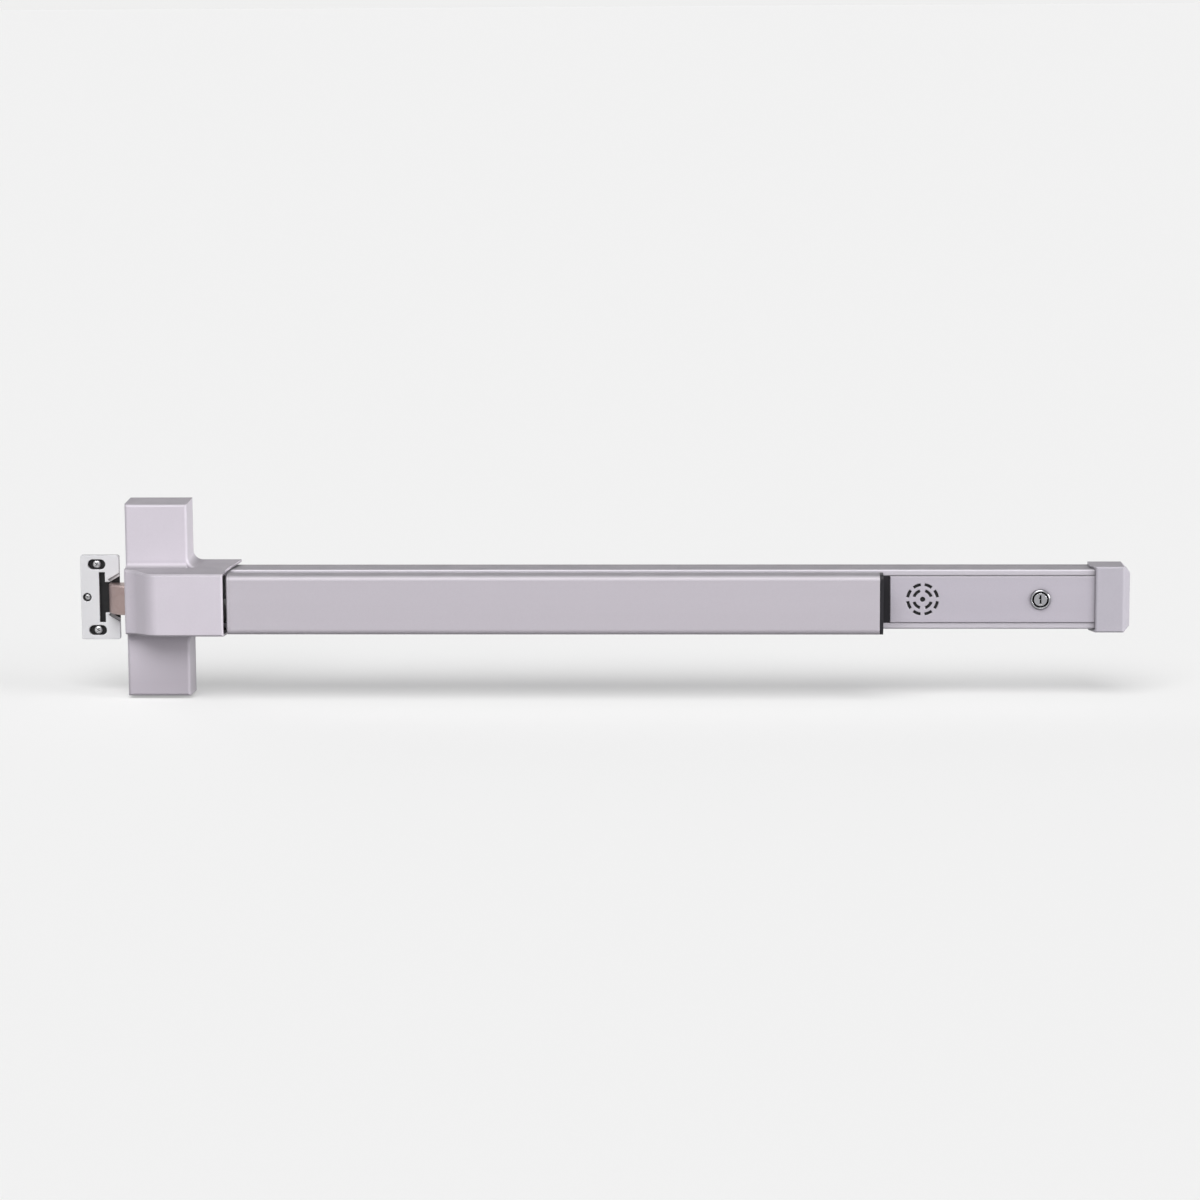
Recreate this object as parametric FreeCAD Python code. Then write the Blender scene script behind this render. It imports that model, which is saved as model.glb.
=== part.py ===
import FreeCAD, Part
import math
import os

V = FreeCAD.Vector

# The door face is the plane y = 0, the bar stands out of it towards -Y, +X runs along the bar
# from the latch end, +Z is up. x = 0, z = 0 is the centre of the head's fixing holes. All in mm.

# Head: an upright on the door's edge crossed by a deeper band that carries on into the bar
HEAD_WIDTH = 49.0
HEAD_HEIGHT = 154.0
HEAD_DEPTH = 33.0
HEAD_END_DRAFT = 1.2
HEAD_WALL = 2.0
HEAD_EDGE_RADIUS = 2.2
BAND_LENGTH = 79.3
BAND_DEPTH = 60.0
BAND_OVER_RAIL = 4.3
BAND_OVER_BAR = 0.9
BAND_FLARE = 7.7
BAND_FLARE_DEPTH = 38.0
BAND_EDGE_BEVEL = 1.2
NOSE_STEP_DEPTH = 42.0
NOSE_STEP_RUN = 27.5
NOSE_RADIUS = 13.3
COVE_RADIUS = 4.5
COVE_END_BEVEL = 1.4
CORNER_COVE_RADIUS = 7.5

# Plates and holes that fix the head and the far end to the door
HEAD_HOLE_RADIUS = 3.1
HEAD_HOLE_PITCH_X = 26.0
HEAD_HOLE_PITCH_Z = 112.0
END_HOLE_RADIUS = 2.6
END_HOLE_PITCH_Z = 26.0
END_HOLE_FROM_END = 11.0
PLATE_THICK = 1.8
PLATE_CLEAR = 0.6
TONGUE_THICK = 2.0
TONGUE_CLEAR = 0.3
TONGUE_REACH = 14.0
TONGUE_ROOT = 10.0
COVER_HOOK_DROP = 9.0
COVER_HOOK_HALF = 6.0

# Latch and the parts that guide it
LATCH_Z = -2.0
LATCH_HEIGHT = 23.2
LATCH_THROW = 18.0
LATCH_BACK = 2.2
LATCH_FRONT = 22.0
LATCH_TIP = 2.4
LATCH_LENGTH = 54.0
LATCH_TRAVEL = 12.0
LATCH_CLEAR = 0.3
LATCH_POST_FROM_EDGE = 30.0
LATCH_POST_HALF = 2.5
CHEEK = 3.4
KEEPER_THICK = 1.8
LUG_LENGTH = 6.0
LATCH_STOP_GAP = 10.0
LATCH_STOP_THICK = 2.0
LATCH_SPRING_DEPTH = 12.0
SPRING_POCKET = 9.0
SPRING_POCKET_HALF = 5.4

# Rail: one channel from the head to the end cap
RAIL_HEIGHT = 47.0
RAIL_DEPTH = 27.0
RAIL_WALL = 1.8
RAIL_LIP = 4.9
RAIL_EDGE_RADIUS = 1.4
RAIL_IN_HEAD = 10.8
RAIL_IN_CAP = 4.0
RAIL_GROOVE = 1.4
RAIL_GROOVE_DEPTH = 0.5

# Push bar
BAR_LENGTH = 506.2
BAR_FACE_DEPTH = 58.0
BAR_SKIRT = 14.0
BAR_WALL = 2.0
BAR_LIP_CLEAR = 1.6
BAR_CORNER_RADIUS = 4.5
BAR_TRAVEL = 13.0
BAR_GAP = 2.5
BAR_CAP_LEFT = 2.0
BAR_CAP_RIGHT = 2.8
BAR_CAP_REACH = 24.0
BAR_CAP_BEVEL = 0.8
PLUG_LENGTH = 10.0
PLUG_HEIGHT = 8.0
PLUG_CLEAR = 0.1

# Linkage
PIVOT_DEPTH = 13.0
CRANK_HALF_ANGLE = 14.5
CRANK_LEFT_FROM_BAR = 72.0
CRANK_RIGHT_FROM_BAR_END = 96.0
CRANK_HALF_THICK = 2.0
CRANK_ROOT_RADIUS = 5.6
CRANK_TIP_RADIUS = 4.0
FINGER_RADIUS = 2.5
FINGER_NECK = 1.5
PIVOT_RADIUS = 2.5
PIN_RADIUS = 2.0
PIN_SQUARE = 0.7
PIN_EDGE = 3.2
RUNNING_CLEAR = 0.05
SLOT_CLEAR = 0.15
BRACKET_FOOT_HALF = 9.0
BRACKET_HALF_LENGTH = 14.0
BRACKET_THICK = 2.0
BRACKET_SIDE_CLEAR = 0.3
TAB_LENGTH = 6.0
TAB_HALF = 4.0
ROD_HALF = 2.0
ROD_HALF_HEIGHT = 5.0
ROD_PAST_CRANK = 44.0
ROD_SPIGOT_RADIUS = 2.0
ROD_SHOULDER = 3.0
ROD_SHOULDER_HALF = 5.4
NOTCH_BACK = 1.5
NOTCH_FLARE = 2.2
RETURN_SPRING_SPACE = 34.0
SPRING_COIL_RADIUS = 4.1
SPRING_WIRE_RADIUS = 0.6
SPRING_END_CLEAR = 0.2
COIL_STEPS = 6
STOP_PAD_LENGTH = 24.0
STOP_PAD_HALF = 1.8
STOP_PAD_CLEAR = 0.2
STOP_PAD_BEFORE = 40.0
STOP_PAD_AFTER = 60.0

# Alarm section
COVER_GAP = 6.0
COVER_LENGTH = 159.5
COVER_PROUD = 1.0
COVER_THICK = 1.8
COVER_SIDE_CLEAR = 0.2
COVER_SIDE_WALL = 1.6
COVER_SIDE_REACH = 13.0
COVER_BARB = 1.4
COVER_UNDER_CAP = 3.0
COVER_BEVEL = 0.5
GRILLE_FROM_START = 25.3
GRILLE_CENTRE_RADIUS = 2.0
GRILLE_INNER_RING = 6.9
GRILLE_OUTER_RING = 11.6
GRILLE_SLOT = 2.3
MESH_HALF = 14.2
MESH_THICK = 0.7
BOARD_THICK = 1.6
BOARD_LENGTH = 40.0
BOARD_WIDTH = 29.0
BOARD_DEPTH = 4.8
TRAY_POST = 3.0
TRAY_WALL = 1.4
TRAY_FLOOR = 1.2
TRAY_SIDE_DEPTH = 12.6
BATTERY_FROM_GRILLE = 24.0
BATTERY_LENGTH = 48.5
BATTERY_HALF = 13.1
BATTERY_THICK = 17.0
BATTERY_CLEAR = 0.2
TERMINAL_HALF_PITCH = 6.4
TERMINAL_RADIUS = 3.2
TERMINAL_HEIGHT = 2.2
CLIP_THICK = 4.0
KEY_FROM_START = 116.7
KEY_BEZEL_RADIUS = 7.7
KEY_BEZEL_PROUD = 1.5
KEY_PLUG_RADIUS = 5.0
KEY_BARREL_RADIUS = 6.6
KEY_BARREL_REAR = 10.0
KEY_TAIL_HALF = 1.2
KEY_TAIL = 3.0
KEY_NUT_RADIUS = 9.6
KEY_NUT_THICK = 2.6
KEY_SWITCH_THICK = 5.0
DIVIDER_GAP_LEFT = 0.8
DIVIDER_CLEAR = 0.2
MAGNET_LENGTH = 12.0
MAGNET_FROM_END = 18.0
MAGNET_WIDTH = 4.0
MAGNET_HEIGHT = 7.0
MAGNET_DEPTH = 24.0
SENSOR_LENGTH = 16.0
SENSOR_HEIGHT = 6.0
SENSOR_CLEAR = 0.4
SENSOR_WEB_CLEAR = 1.2

# End cap
END_CAP_LENGTH = 26.4
END_CAP_WALL = 1.9
END_CAP_FIT = 0.35
END_CAP_FACE_CLEAR = 0.1
END_CAP_OVERLAP = 4.5
END_CAP_SIDE_DEPTH = 17.0
END_CAP_BEVEL = 5.0
END_CAP_EDGE = 0.8
END_PLATE_CLEAR = 1.5

# Strike on the frame
STRIKE_WIDTH = 30.6
STRIKE_HEIGHT = 67.0
STRIKE_THICK = 3.0
STRIKE_BACKING = 1.0
STRIKE_GAP = 10.0
STRIKE_CORNER = 1.5
STRIKE_SLOT_FROM_LEFT = 14.6
STRIKE_SLOT_WIDTH = 4.7
STRIKE_SLOT_END = 13.5
STRIKE_NECK = 8.5
STRIKE_MOUTH_CLEAR = 0.6
STRIKE_MOUTH_FLARE = 5.8
STRIKE_RAMP = 1.2
STRIKE_SCREW_FROM_LEFT = 12.9
STRIKE_SCREW_FROM_END = 7.25
STRIKE_SCREW_PLAY = 3.0
STRIKE_SCREW_SLOT = 4.0
STRIKE_CENTRE_FROM_LEFT = 4.9
STRIKE_CENTRE_HOLE = 3.4

# Screws
SMALL_SCREW_RADIUS = 1.7
SMALL_HEAD_RADIUS = 3.3
SMALL_HEAD_HEIGHT = 1.5
HOLE_CLEAR = 0.2
SCREW_SEAT = 1.2
COVER_SCREW_DEPTH = 14.0
CAP_SCREW_DEPTH = 12.0
SCREW_TAB_HALF = 8.0
SCREW_TAB_THICK = 2.0
SCREW_PAST_TAB = 3.0
STRIKE_HEAD_RADIUS = 3.2
STRIKE_HEAD_HEIGHT = 2.4
CENTRE_HEAD_RADIUS = 2.5
CENTRE_HEAD_HEIGHT = 2.0

# Derived sizes
BAR_HEIGHT = RAIL_HEIGHT
BAND_BASE_HALF = RAIL_HEIGHT / 2 + BAND_OVER_RAIL
BAND_FACE_HALF = BAR_HEIGHT / 2 + BAND_OVER_BAR
RAIL_INSIDE = RAIL_HEIGHT / 2 - RAIL_WALL
RAIL_OPENING = RAIL_HEIGHT / 2 - RAIL_LIP
BAR_WEB_HALF = RAIL_OPENING - BAR_LIP_CLEAR
COVER_HALF = RAIL_OPENING - COVER_SIDE_CLEAR
COVER_FACE = RAIL_DEPTH + COVER_PROUD
COVER_BACK = COVER_FACE - COVER_THICK
TONGUE_HALF = RAIL_INSIDE - TONGUE_CLEAR
END_CAP_HALF = RAIL_HEIGHT / 2 + END_CAP_FIT + END_CAP_WALL
END_CAP_DEPTH = COVER_FACE + END_CAP_FACE_CLEAR + END_CAP_WALL
END_PLATE_HALF = RAIL_HEIGHT / 2 - END_PLATE_CLEAR
STRIKE_MOUTH_NEAR = LATCH_HEIGHT / 2 + STRIKE_MOUTH_CLEAR
STRIKE_MOUTH_FAR = LATCH_HEIGHT / 2 + STRIKE_MOUTH_FLARE
CRANK_ARM = BAR_TRAVEL / 2 / math.tan(math.radians(CRANK_HALF_ANGLE))
ROD_ARM = LATCH_TRAVEL / 2 / math.tan(math.radians(CRANK_HALF_ANGLE))
ROD_DEPTH = PIVOT_DEPTH + ROD_ARM
BAR_PIN_DEPTH = PIVOT_DEPTH + BAR_TRAVEL / 2
WEB_END_DEPTH = BAR_PIN_DEPTH - PIN_EDGE
CHEEK_INSIDE = CRANK_HALF_THICK + BRACKET_SIDE_CLEAR
CHEEK_OUTSIDE = CHEEK_INSIDE + BRACKET_THICK
BASE_DEPTH = RAIL_WALL + TONGUE_THICK

# Derived positions
HEAD_LEFT = -HEAD_WIDTH / 2
HEAD_RIGHT = HEAD_WIDTH / 2
HEAD_TOP = HEAD_HEIGHT / 2
BAND_END = HEAD_LEFT + BAND_LENGTH
RAIL_START = BAND_END - RAIL_IN_HEAD
BAR_START = BAND_END + BAR_GAP
BAR_END = BAR_START + BAR_LENGTH
CAP_END = BAR_END + BAR_CAP_RIGHT
COVER_START = CAP_END + COVER_GAP
COVER_END = COVER_START + COVER_LENGTH
RAIL_END = COVER_END + RAIL_IN_CAP
END_CAP_END = COVER_END + END_CAP_LENGTH
END_HOLE_X = END_CAP_END - END_HOLE_FROM_END
LATCH_TOP = LATCH_Z + LATCH_HEIGHT / 2
LATCH_BOTTOM = LATCH_Z - LATCH_HEIGHT / 2
GUIDE_HIGH = LATCH_TOP + LATCH_CLEAR
GUIDE_LOW = LATCH_BOTTOM - LATCH_CLEAR
GUIDE_DEPTH = LATCH_FRONT + LATCH_CLEAR
LATCH_TIP_X = HEAD_LEFT - LATCH_THROW
LATCH_REAR = LATCH_TIP_X + LATCH_LENGTH
LATCH_POST_X = HEAD_LEFT + LATCH_POST_FROM_EDGE
LATCH_STOP_X = LATCH_REAR + LATCH_TRAVEL + LATCH_STOP_GAP
CRANK_LEFT_X = BAR_START + CRANK_LEFT_FROM_BAR
CRANK_RIGHT_X = BAR_END - CRANK_RIGHT_FROM_BAR_END
ROD_RIGHT = CRANK_RIGHT_X + ROD_PAST_CRANK
SPRING_WALL_X = ROD_RIGHT + RETURN_SPRING_SPACE
HEAD_SCREW_X = RAIL_START + TONGUE_REACH / 2
END_SCREW_X = RAIL_END - TONGUE_REACH / 2
HOOK_TIP = HEAD_TOP - COVER_HOOK_DROP
HEAD_SEAT_Z = -HEAD_TOP + SCREW_SEAT
HEAD_TAB_Z = -HEAD_TOP + HEAD_WALL + HEAD_END_DRAFT + PLATE_CLEAR
CAP_SEAT_Z = -END_CAP_HALF + END_CAP_WALL / 2
GRILLE_X = COVER_START + GRILLE_FROM_START
KEY_X = COVER_START + KEY_FROM_START
BATTERY_X = GRILLE_X + BATTERY_FROM_GRILLE
BATTERY_END = BATTERY_X + BATTERY_LENGTH
BATTERY_DEPTH = RAIL_WALL + TRAY_FLOOR + BATTERY_THICK / 2
STRIKE_RIGHT = HEAD_LEFT - STRIKE_GAP
STRIKE_LEFT = STRIKE_RIGHT - STRIKE_WIDTH
STRIKE_FRONT = STRIKE_BACKING + STRIKE_THICK


def box(x0, x1, y0, y1, z0, z1):
    low = V(min(x0, x1), min(y0, y1), min(z0, z1))
    return Part.makeBox(abs(x1 - x0), abs(y1 - y0), abs(z1 - z0), low)


def cyl_x(y, z, r, x0, x1):
    return Part.makeCylinder(r, x1 - x0, V(x0, y, z), V(1, 0, 0))


def cyl_y(x, z, r, y0, y1):
    return Part.makeCylinder(r, y1 - y0, V(x, y0, z), V(0, 1, 0))


def cyl_z(x, y, r, z0, z1):
    return Part.makeCylinder(r, z1 - z0, V(x, y, z0), V(0, 0, 1))


def prism_x(outline, x0, x1):
    """Extrudes a closed outline of (y, z) points along X."""
    points = [V(x0, y, z) for y, z in outline]
    return Part.Face(Part.makePolygon(points + [points[0]])).extrude(V(x1 - x0, 0, 0))


def prism_y(outline, y0, y1):
    """Extrudes a closed outline of (x, z) points along Y."""
    points = [V(x, y0, z) for x, z in outline]
    return Part.Face(Part.makePolygon(points + [points[0]])).extrude(V(0, y1 - y0, 0))


def prism_z(outline, z0, z1):
    """Extrudes a closed outline of (x, y) points along Z."""
    points = [V(x, y, z0) for x, y in outline]
    return Part.Face(Part.makePolygon(points + [points[0]])).extrude(V(0, 0, z1 - z0))


def fuse(first, *others):
    return first.fuse(list(others)).removeSplitter()


def picked_edges(solid, wanted, along):
    """The edges whose end points all pass the test, and that run along the given axis if one is."""
    found = []
    for e in solid.Edges:
        size = {"x": e.BoundBox.XLength, "y": e.BoundBox.YLength, "z": e.BoundBox.ZLength}
        straight = all(size[a] < 0.01 for a in size if a != along)
        if (along is None or straight) and all(wanted(v.Point) for v in e.Vertexes):
            found.append(e)
    return found


def round_edges(solid, radius, wanted, along=None):
    return solid.makeFillet(radius, picked_edges(solid, wanted, along))


def bevel_edges(solid, size, wanted, along=None):
    return solid.makeChamfer(size, picked_edges(solid, wanted, along))


def link_plate(p0, r0, p1, r1, z0, z1):
    """A stamped plate in the XY plane with eight-sided ends about two points."""
    dx = p1[0] - p0[0]
    dy = p1[1] - p0[1]
    reach = math.hypot(dx, dy)
    along = math.atan2(dy, dx)
    spread = math.acos((r0 - r1) / reach)
    corners = []
    for centre, r, side in ((p0, r0, 1), (p0, r0, -1), (p1, r1, -1), (p1, r1, 1)):
        a = along + side * spread
        corners.append((centre[0] + r * math.cos(a), centre[1] + r * math.sin(a)))
    ends = [prism_z(polygon(p[0], p[1], r, 8), z0, z1) for p, r in ((p0, r0), (p1, r1))]
    return fuse(prism_z(corners, z0, z1), *ends)


def polygon(u, w, radius, sides=6):
    return [(u + radius * math.cos(2 * math.pi * k / sides), w + radius * math.sin(2 * math.pi * k / sides))
            for k in range(sides)]


def squared(x, depth, radius, z0, z1):
    """The square end of a pin, or the square hole it is staked in."""
    half = PIN_SQUARE * radius
    return box(x - half, x + half, -depth - half, -depth + half, z0, z1)


def staked_pin(x, depth, radius, inside, outside):
    """A round pin with squared ends, staked through a plate at each side so that it can't turn."""
    return fuse(cyl_z(x, -depth, radius, -inside, inside), squared(x, depth, radius, -outside, outside))


def upright_screw(x, depth, seat, tip):
    """A hexagon-head screw driven up from below, with its head under the seat."""
    head = prism_z(polygon(x, -depth, SMALL_HEAD_RADIUS), seat - SMALL_HEAD_HEIGHT, seat)
    return fuse(head, cyl_z(x, -depth, SMALL_SCREW_RADIUS, seat, tip))


def compression_spring(x0, x1, depth, z, turns):
    """A coil spring along X, drawn as short straight lengths of six-sided wire."""
    start = x0 + SPRING_WIRE_RADIUS + SPRING_END_CLEAR
    span = x1 - SPRING_WIRE_RADIUS - SPRING_END_CLEAR - start
    steps = COIL_STEPS * turns
    points = []
    for k in range(steps + 1):
        a = math.radians(360 / COIL_STEPS * k)
        points.append(V(start + span * k / steps, -depth + SPRING_COIL_RADIUS * math.cos(a),
                        z + SPRING_COIL_RADIUS * math.sin(a)))
    outward = V(0, 1, 0)
    side = V(1, 0, 0)
    wire = []
    for k in range(7):
        a = math.radians(60 * k)
        wire.append(points[0] + outward * (SPRING_WIRE_RADIUS * math.cos(a))
                    + side * (SPRING_WIRE_RADIUS * math.sin(a)))
    return Part.makePolygon(points).makePipeShell([Part.makePolygon(wire)], True, False, 1)


# ---------------------------------------------------------------- head


def band_half(depth):
    """Half the band's height at a depth in front of the door."""
    return BAND_BASE_HALF - (BAND_BASE_HALF - BAND_FACE_HALF) * depth / BAND_DEPTH


def nose_edges(inset):
    """The S-shaped run of the band's face: two tangent arcs, joined by a straight where it is steepest."""
    run = NOSE_STEP_RUN
    rise = BAND_DEPTH - NOSE_STEP_DEPTH
    r = min(NOSE_RADIUS, 0.98 * (run * run + rise * rise) / (4 * rise))
    lean = rise - 2 * r
    slope = math.atan2(lean, run) + math.asin(2 * r / math.hypot(run, lean))
    low = r + inset
    high = r - inset
    first = math.asin(inset / low)

    def low_point(a):
        return V(HEAD_LEFT + low * math.sin(a), -NOSE_STEP_DEPTH - r + low * math.cos(a), 0)

    def high_point(a):
        return V(HEAD_LEFT + run - high * math.sin(a), -BAND_DEPTH + r - high * math.cos(a), 0)

    edges = [
        Part.Arc(low_point(first), low_point((first + slope) / 2), low_point(slope)).toShape(),
        Part.makeLine(low_point(slope), high_point(slope)),
        Part.Arc(high_point(slope), high_point(slope / 2), high_point(0)).toShape(),
    ]
    return edges, low_point(first), high_point(0)


def band_block(inset, open_end):
    """The band as a solid, or the space inside it when inset is the wall thickness."""
    edges, start, finish = nose_edges(inset)
    end_face = BAND_END + open_end
    corners = [
        finish,
        V(end_face, -BAND_DEPTH + inset, 0),
        V(end_face + BAND_FLARE / 11, -BAND_FLARE_DEPTH, 0),
        V(end_face + BAND_FLARE, inset, 0),
        V(HEAD_LEFT + inset, inset, 0),
        start,
    ]
    for a, b in zip(corners, corners[1:]):
        edges.append(Part.makeLine(a, b))
    side = Part.Face(Part.Wire(edges))
    side.translate(V(0, 0, -BAND_BASE_HALF - 1))
    slab = side.extrude(V(0, 0, 2 * BAND_BASE_HALF + 2))
    beyond = inset + 1.0
    back = band_half(-beyond) - inset
    front = band_half(BAND_DEPTH + beyond) - inset
    wedge = prism_x([(beyond, back), (-BAND_DEPTH - beyond, front), (-BAND_DEPTH - beyond, -front),
                     (beyond, -back)], HEAD_LEFT - beyond, end_face + BAND_FLARE + beyond)
    return slab.common(wedge)


def upright_block(inset):
    """The upright as a solid with drafted ends, or the space inside it."""
    top = HEAD_TOP - inset
    tip = top - HEAD_END_DRAFT
    return prism_x([(inset, top), (-HEAD_DEPTH + inset, tip), (-HEAD_DEPTH + inset, -tip), (inset, -top)],
                   HEAD_LEFT + inset, HEAD_RIGHT - inset)


def tee_block():
    """The upright with the root of the band, coved in the corners and rounded round the front."""
    back = band_half(0)
    front = band_half(HEAD_DEPTH)
    far = HEAD_RIGHT + CORNER_COVE_RADIUS + 6.0
    root = prism_x([(0, back), (-HEAD_DEPTH, front), (-HEAD_DEPTH, -front), (0, -back)], 0, far)
    tee = fuse(upright_block(0), root)
    tee = round_edges(tee, CORNER_COVE_RADIUS,
                      lambda p: abs(p.x - HEAD_RIGHT) < 0.1 and abs(p.z) < back + 0.1)
    edge = -HEAD_DEPTH + 0.1
    return round_edges(tee, HEAD_EDGE_RADIUS, lambda p: p.y < edge and p.x < far - 1)


def face_cove(side):
    """The hollow curve that carries the upright's face up onto the band, above or below it."""
    r = COVE_RADIUS
    root = band_half(HEAD_DEPTH)
    foot = root + r
    bend = r * (1 - math.sqrt(0.5))
    top = V(HEAD_LEFT, -HEAD_DEPTH - r, side * band_half(HEAD_DEPTH + r))
    middle = V(HEAD_LEFT, -HEAD_DEPTH - bend, side * (root - 0.2 + bend))
    base = V(HEAD_LEFT, -HEAD_DEPTH, side * foot)
    sunk = -HEAD_DEPTH + 0.3
    corners = [base, V(HEAD_LEFT, sunk, side * foot), V(HEAD_LEFT, sunk, side * (root - 2)),
               V(HEAD_LEFT, top.y, side * (root - 2)), top]
    edges = [Part.Arc(top, middle, base).toShape()]
    for a, b in zip(corners, corners[1:]):
        edges.append(Part.makeLine(a, b))
    strip = Part.Face(Part.Wire(edges)).extrude(V(HEAD_WIDTH, 0, 0))
    ends = [e for e in strip.Edges if e.Curve.__class__.__name__ == "Circle"]
    return strip.makeChamfer(COVE_END_BEVEL, ends)


def make_head_cover():
    """One die-cast shell: hooked over the chassis at the top and screwed to it from below."""
    band = band_block(0, 0)
    step = -NOSE_STEP_DEPTH + 0.5
    low = BAND_FACE_HALF - 0.5
    band = bevel_edges(band, BAND_EDGE_BEVEL, lambda p: p.y < step and abs(p.z) > low)
    shell = fuse(tee_block(), face_cove(1), face_cove(-1), band)
    shell = shell.cut(upright_block(HEAD_WALL)).cut(band_block(HEAD_WALL, BAND_FLARE + 4))
    window = box(HEAD_LEFT - 1, HEAD_LEFT + HEAD_WALL + 2, -GUIDE_DEPTH - LATCH_CLEAR, 1,
                 GUIDE_LOW - 0.2, GUIDE_HIGH + 0.2)
    shell = shell.cut(window)
    inside_top = HEAD_TOP - HEAD_WALL
    hook = box(-COVER_HOOK_HALF, COVER_HOOK_HALF, -PLATE_THICK - 6.8, -PLATE_THICK - 2.2,
               HOOK_TIP, inside_top + 0.2)
    shell = fuse(shell, hook)
    room = SMALL_HEAD_RADIUS + 2 * HOLE_CLEAR
    pocket = prism_z(polygon(0, -COVER_SCREW_DEPTH, room), -HEAD_TOP - 1, HEAD_SEAT_Z)
    hole = cyl_z(0, -COVER_SCREW_DEPTH, SMALL_SCREW_RADIUS + HOLE_CLEAR, -HEAD_TOP - 1, HEAD_SEAT_Z + 3)
    return shell.cut(pocket).cut(hole)


def make_head_cover_screw():
    return upright_screw(0, COVER_SCREW_DEPTH, HEAD_SEAT_Z, HEAD_TAB_Z + SCREW_TAB_THICK + SCREW_PAST_TAB)


def guide_lugs(y0, y1):
    """The lugs at the ends of the latch's two cheeks, staked over the keeper."""
    lugs = []
    for z0, z1 in ((GUIDE_LOW - CHEEK, GUIDE_LOW), (GUIDE_HIGH, GUIDE_HIGH + CHEEK)):
        for x in (HEAD_LEFT + 6, LATCH_STOP_X - LUG_LENGTH - 2):
            lugs.append(box(x, x + LUG_LENGTH, y0, y1, z0, z1))
    return lugs


def make_chassis():
    """The steel plate that the head is built on: latch guide, cover tabs and a tongue for the rail."""
    left = HEAD_LEFT + HEAD_WALL + PLATE_CLEAR
    right = HEAD_RIGHT - HEAD_WALL - PLATE_CLEAR
    end = HEAD_TOP - HEAD_WALL - HEAD_END_DRAFT - HOLE_CLEAR
    stop_end = LATCH_STOP_X + LATCH_STOP_THICK
    plate = box(left, right, -PLATE_THICK, 0, -end, end)
    arm = box(0, RAIL_START - TONGUE_CLEAR, -PLATE_THICK, 0, -RAIL_HEIGHT / 2, RAIL_HEIGHT / 2)
    tongue = box(RAIL_START - TONGUE_ROOT, RAIL_START + TONGUE_REACH, -PLATE_THICK - TONGUE_THICK,
                 -PLATE_THICK, -TONGUE_HALF, TONGUE_HALF)
    low_cheek = box(left, stop_end, -GUIDE_DEPTH, -PLATE_THICK, GUIDE_LOW - CHEEK, GUIDE_LOW)
    high_cheek = box(left, stop_end, -GUIDE_DEPTH, -PLATE_THICK, GUIDE_HIGH, GUIDE_HIGH + CHEEK)
    stop = box(LATCH_STOP_X, stop_end, -GUIDE_DEPTH, -PLATE_THICK, GUIDE_LOW, GUIDE_HIGH)
    tab = box(-SCREW_TAB_HALF, SCREW_TAB_HALF, -COVER_SCREW_DEPTH - SCREW_TAB_HALF, -PLATE_THICK,
              HEAD_TAB_Z, HEAD_TAB_Z + SCREW_TAB_THICK)
    hook = -PLATE_THICK - 7.2
    leg = box(-COVER_HOOK_HALF - 1, COVER_HOOK_HALF + 1, hook - 2, -PLATE_THICK, HOOK_TIP - 6, HOOK_TIP - 4)
    lip = box(-COVER_HOOK_HALF - 1, COVER_HOOK_HALF + 1, hook - 2, hook, HOOK_TIP - 4, HOOK_TIP + 4)
    chassis = fuse(plate, arm, tongue, low_cheek, high_cheek, stop, tab, leg, lip,
                   *guide_lugs(-GUIDE_DEPTH - KEEPER_THICK, -GUIDE_DEPTH))
    for x in (-HEAD_HOLE_PITCH_X / 2, HEAD_HOLE_PITCH_X / 2):
        for z in (-HEAD_HOLE_PITCH_Z / 2, HEAD_HOLE_PITCH_Z / 2):
            chassis = chassis.cut(cyl_y(x, z, HEAD_HOLE_RADIUS, -PLATE_THICK - 1, 1))
    chassis = chassis.cut(cyl_z(0, -COVER_SCREW_DEPTH, SMALL_SCREW_RADIUS, HEAD_TAB_Z - 1,
                                HEAD_TAB_Z + SCREW_TAB_THICK + 1))
    return chassis.cut(cyl_y(HEAD_SCREW_X, 0, SMALL_SCREW_RADIUS, -BASE_DEPTH - 1, 1))


def make_latch_keeper():
    """The strap over the cheeks that holds the latch down and lets its post through."""
    strap = box(HEAD_LEFT + HEAD_WALL + 1, LATCH_STOP_X + LATCH_STOP_THICK, -GUIDE_DEPTH - KEEPER_THICK,
                -GUIDE_DEPTH, GUIDE_LOW - CHEEK, GUIDE_HIGH + CHEEK)
    room = LATCH_POST_HALF + 1.0
    strap = strap.cut(box(LATCH_POST_X - room, LATCH_POST_X + LATCH_TRAVEL + room,
                          -GUIDE_DEPTH - KEEPER_THICK - 1, -GUIDE_DEPTH + 1, -room, room))
    return strap.cut(guide_lugs(-GUIDE_DEPTH - KEEPER_THICK - 1, -GUIDE_DEPTH + 1))


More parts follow.
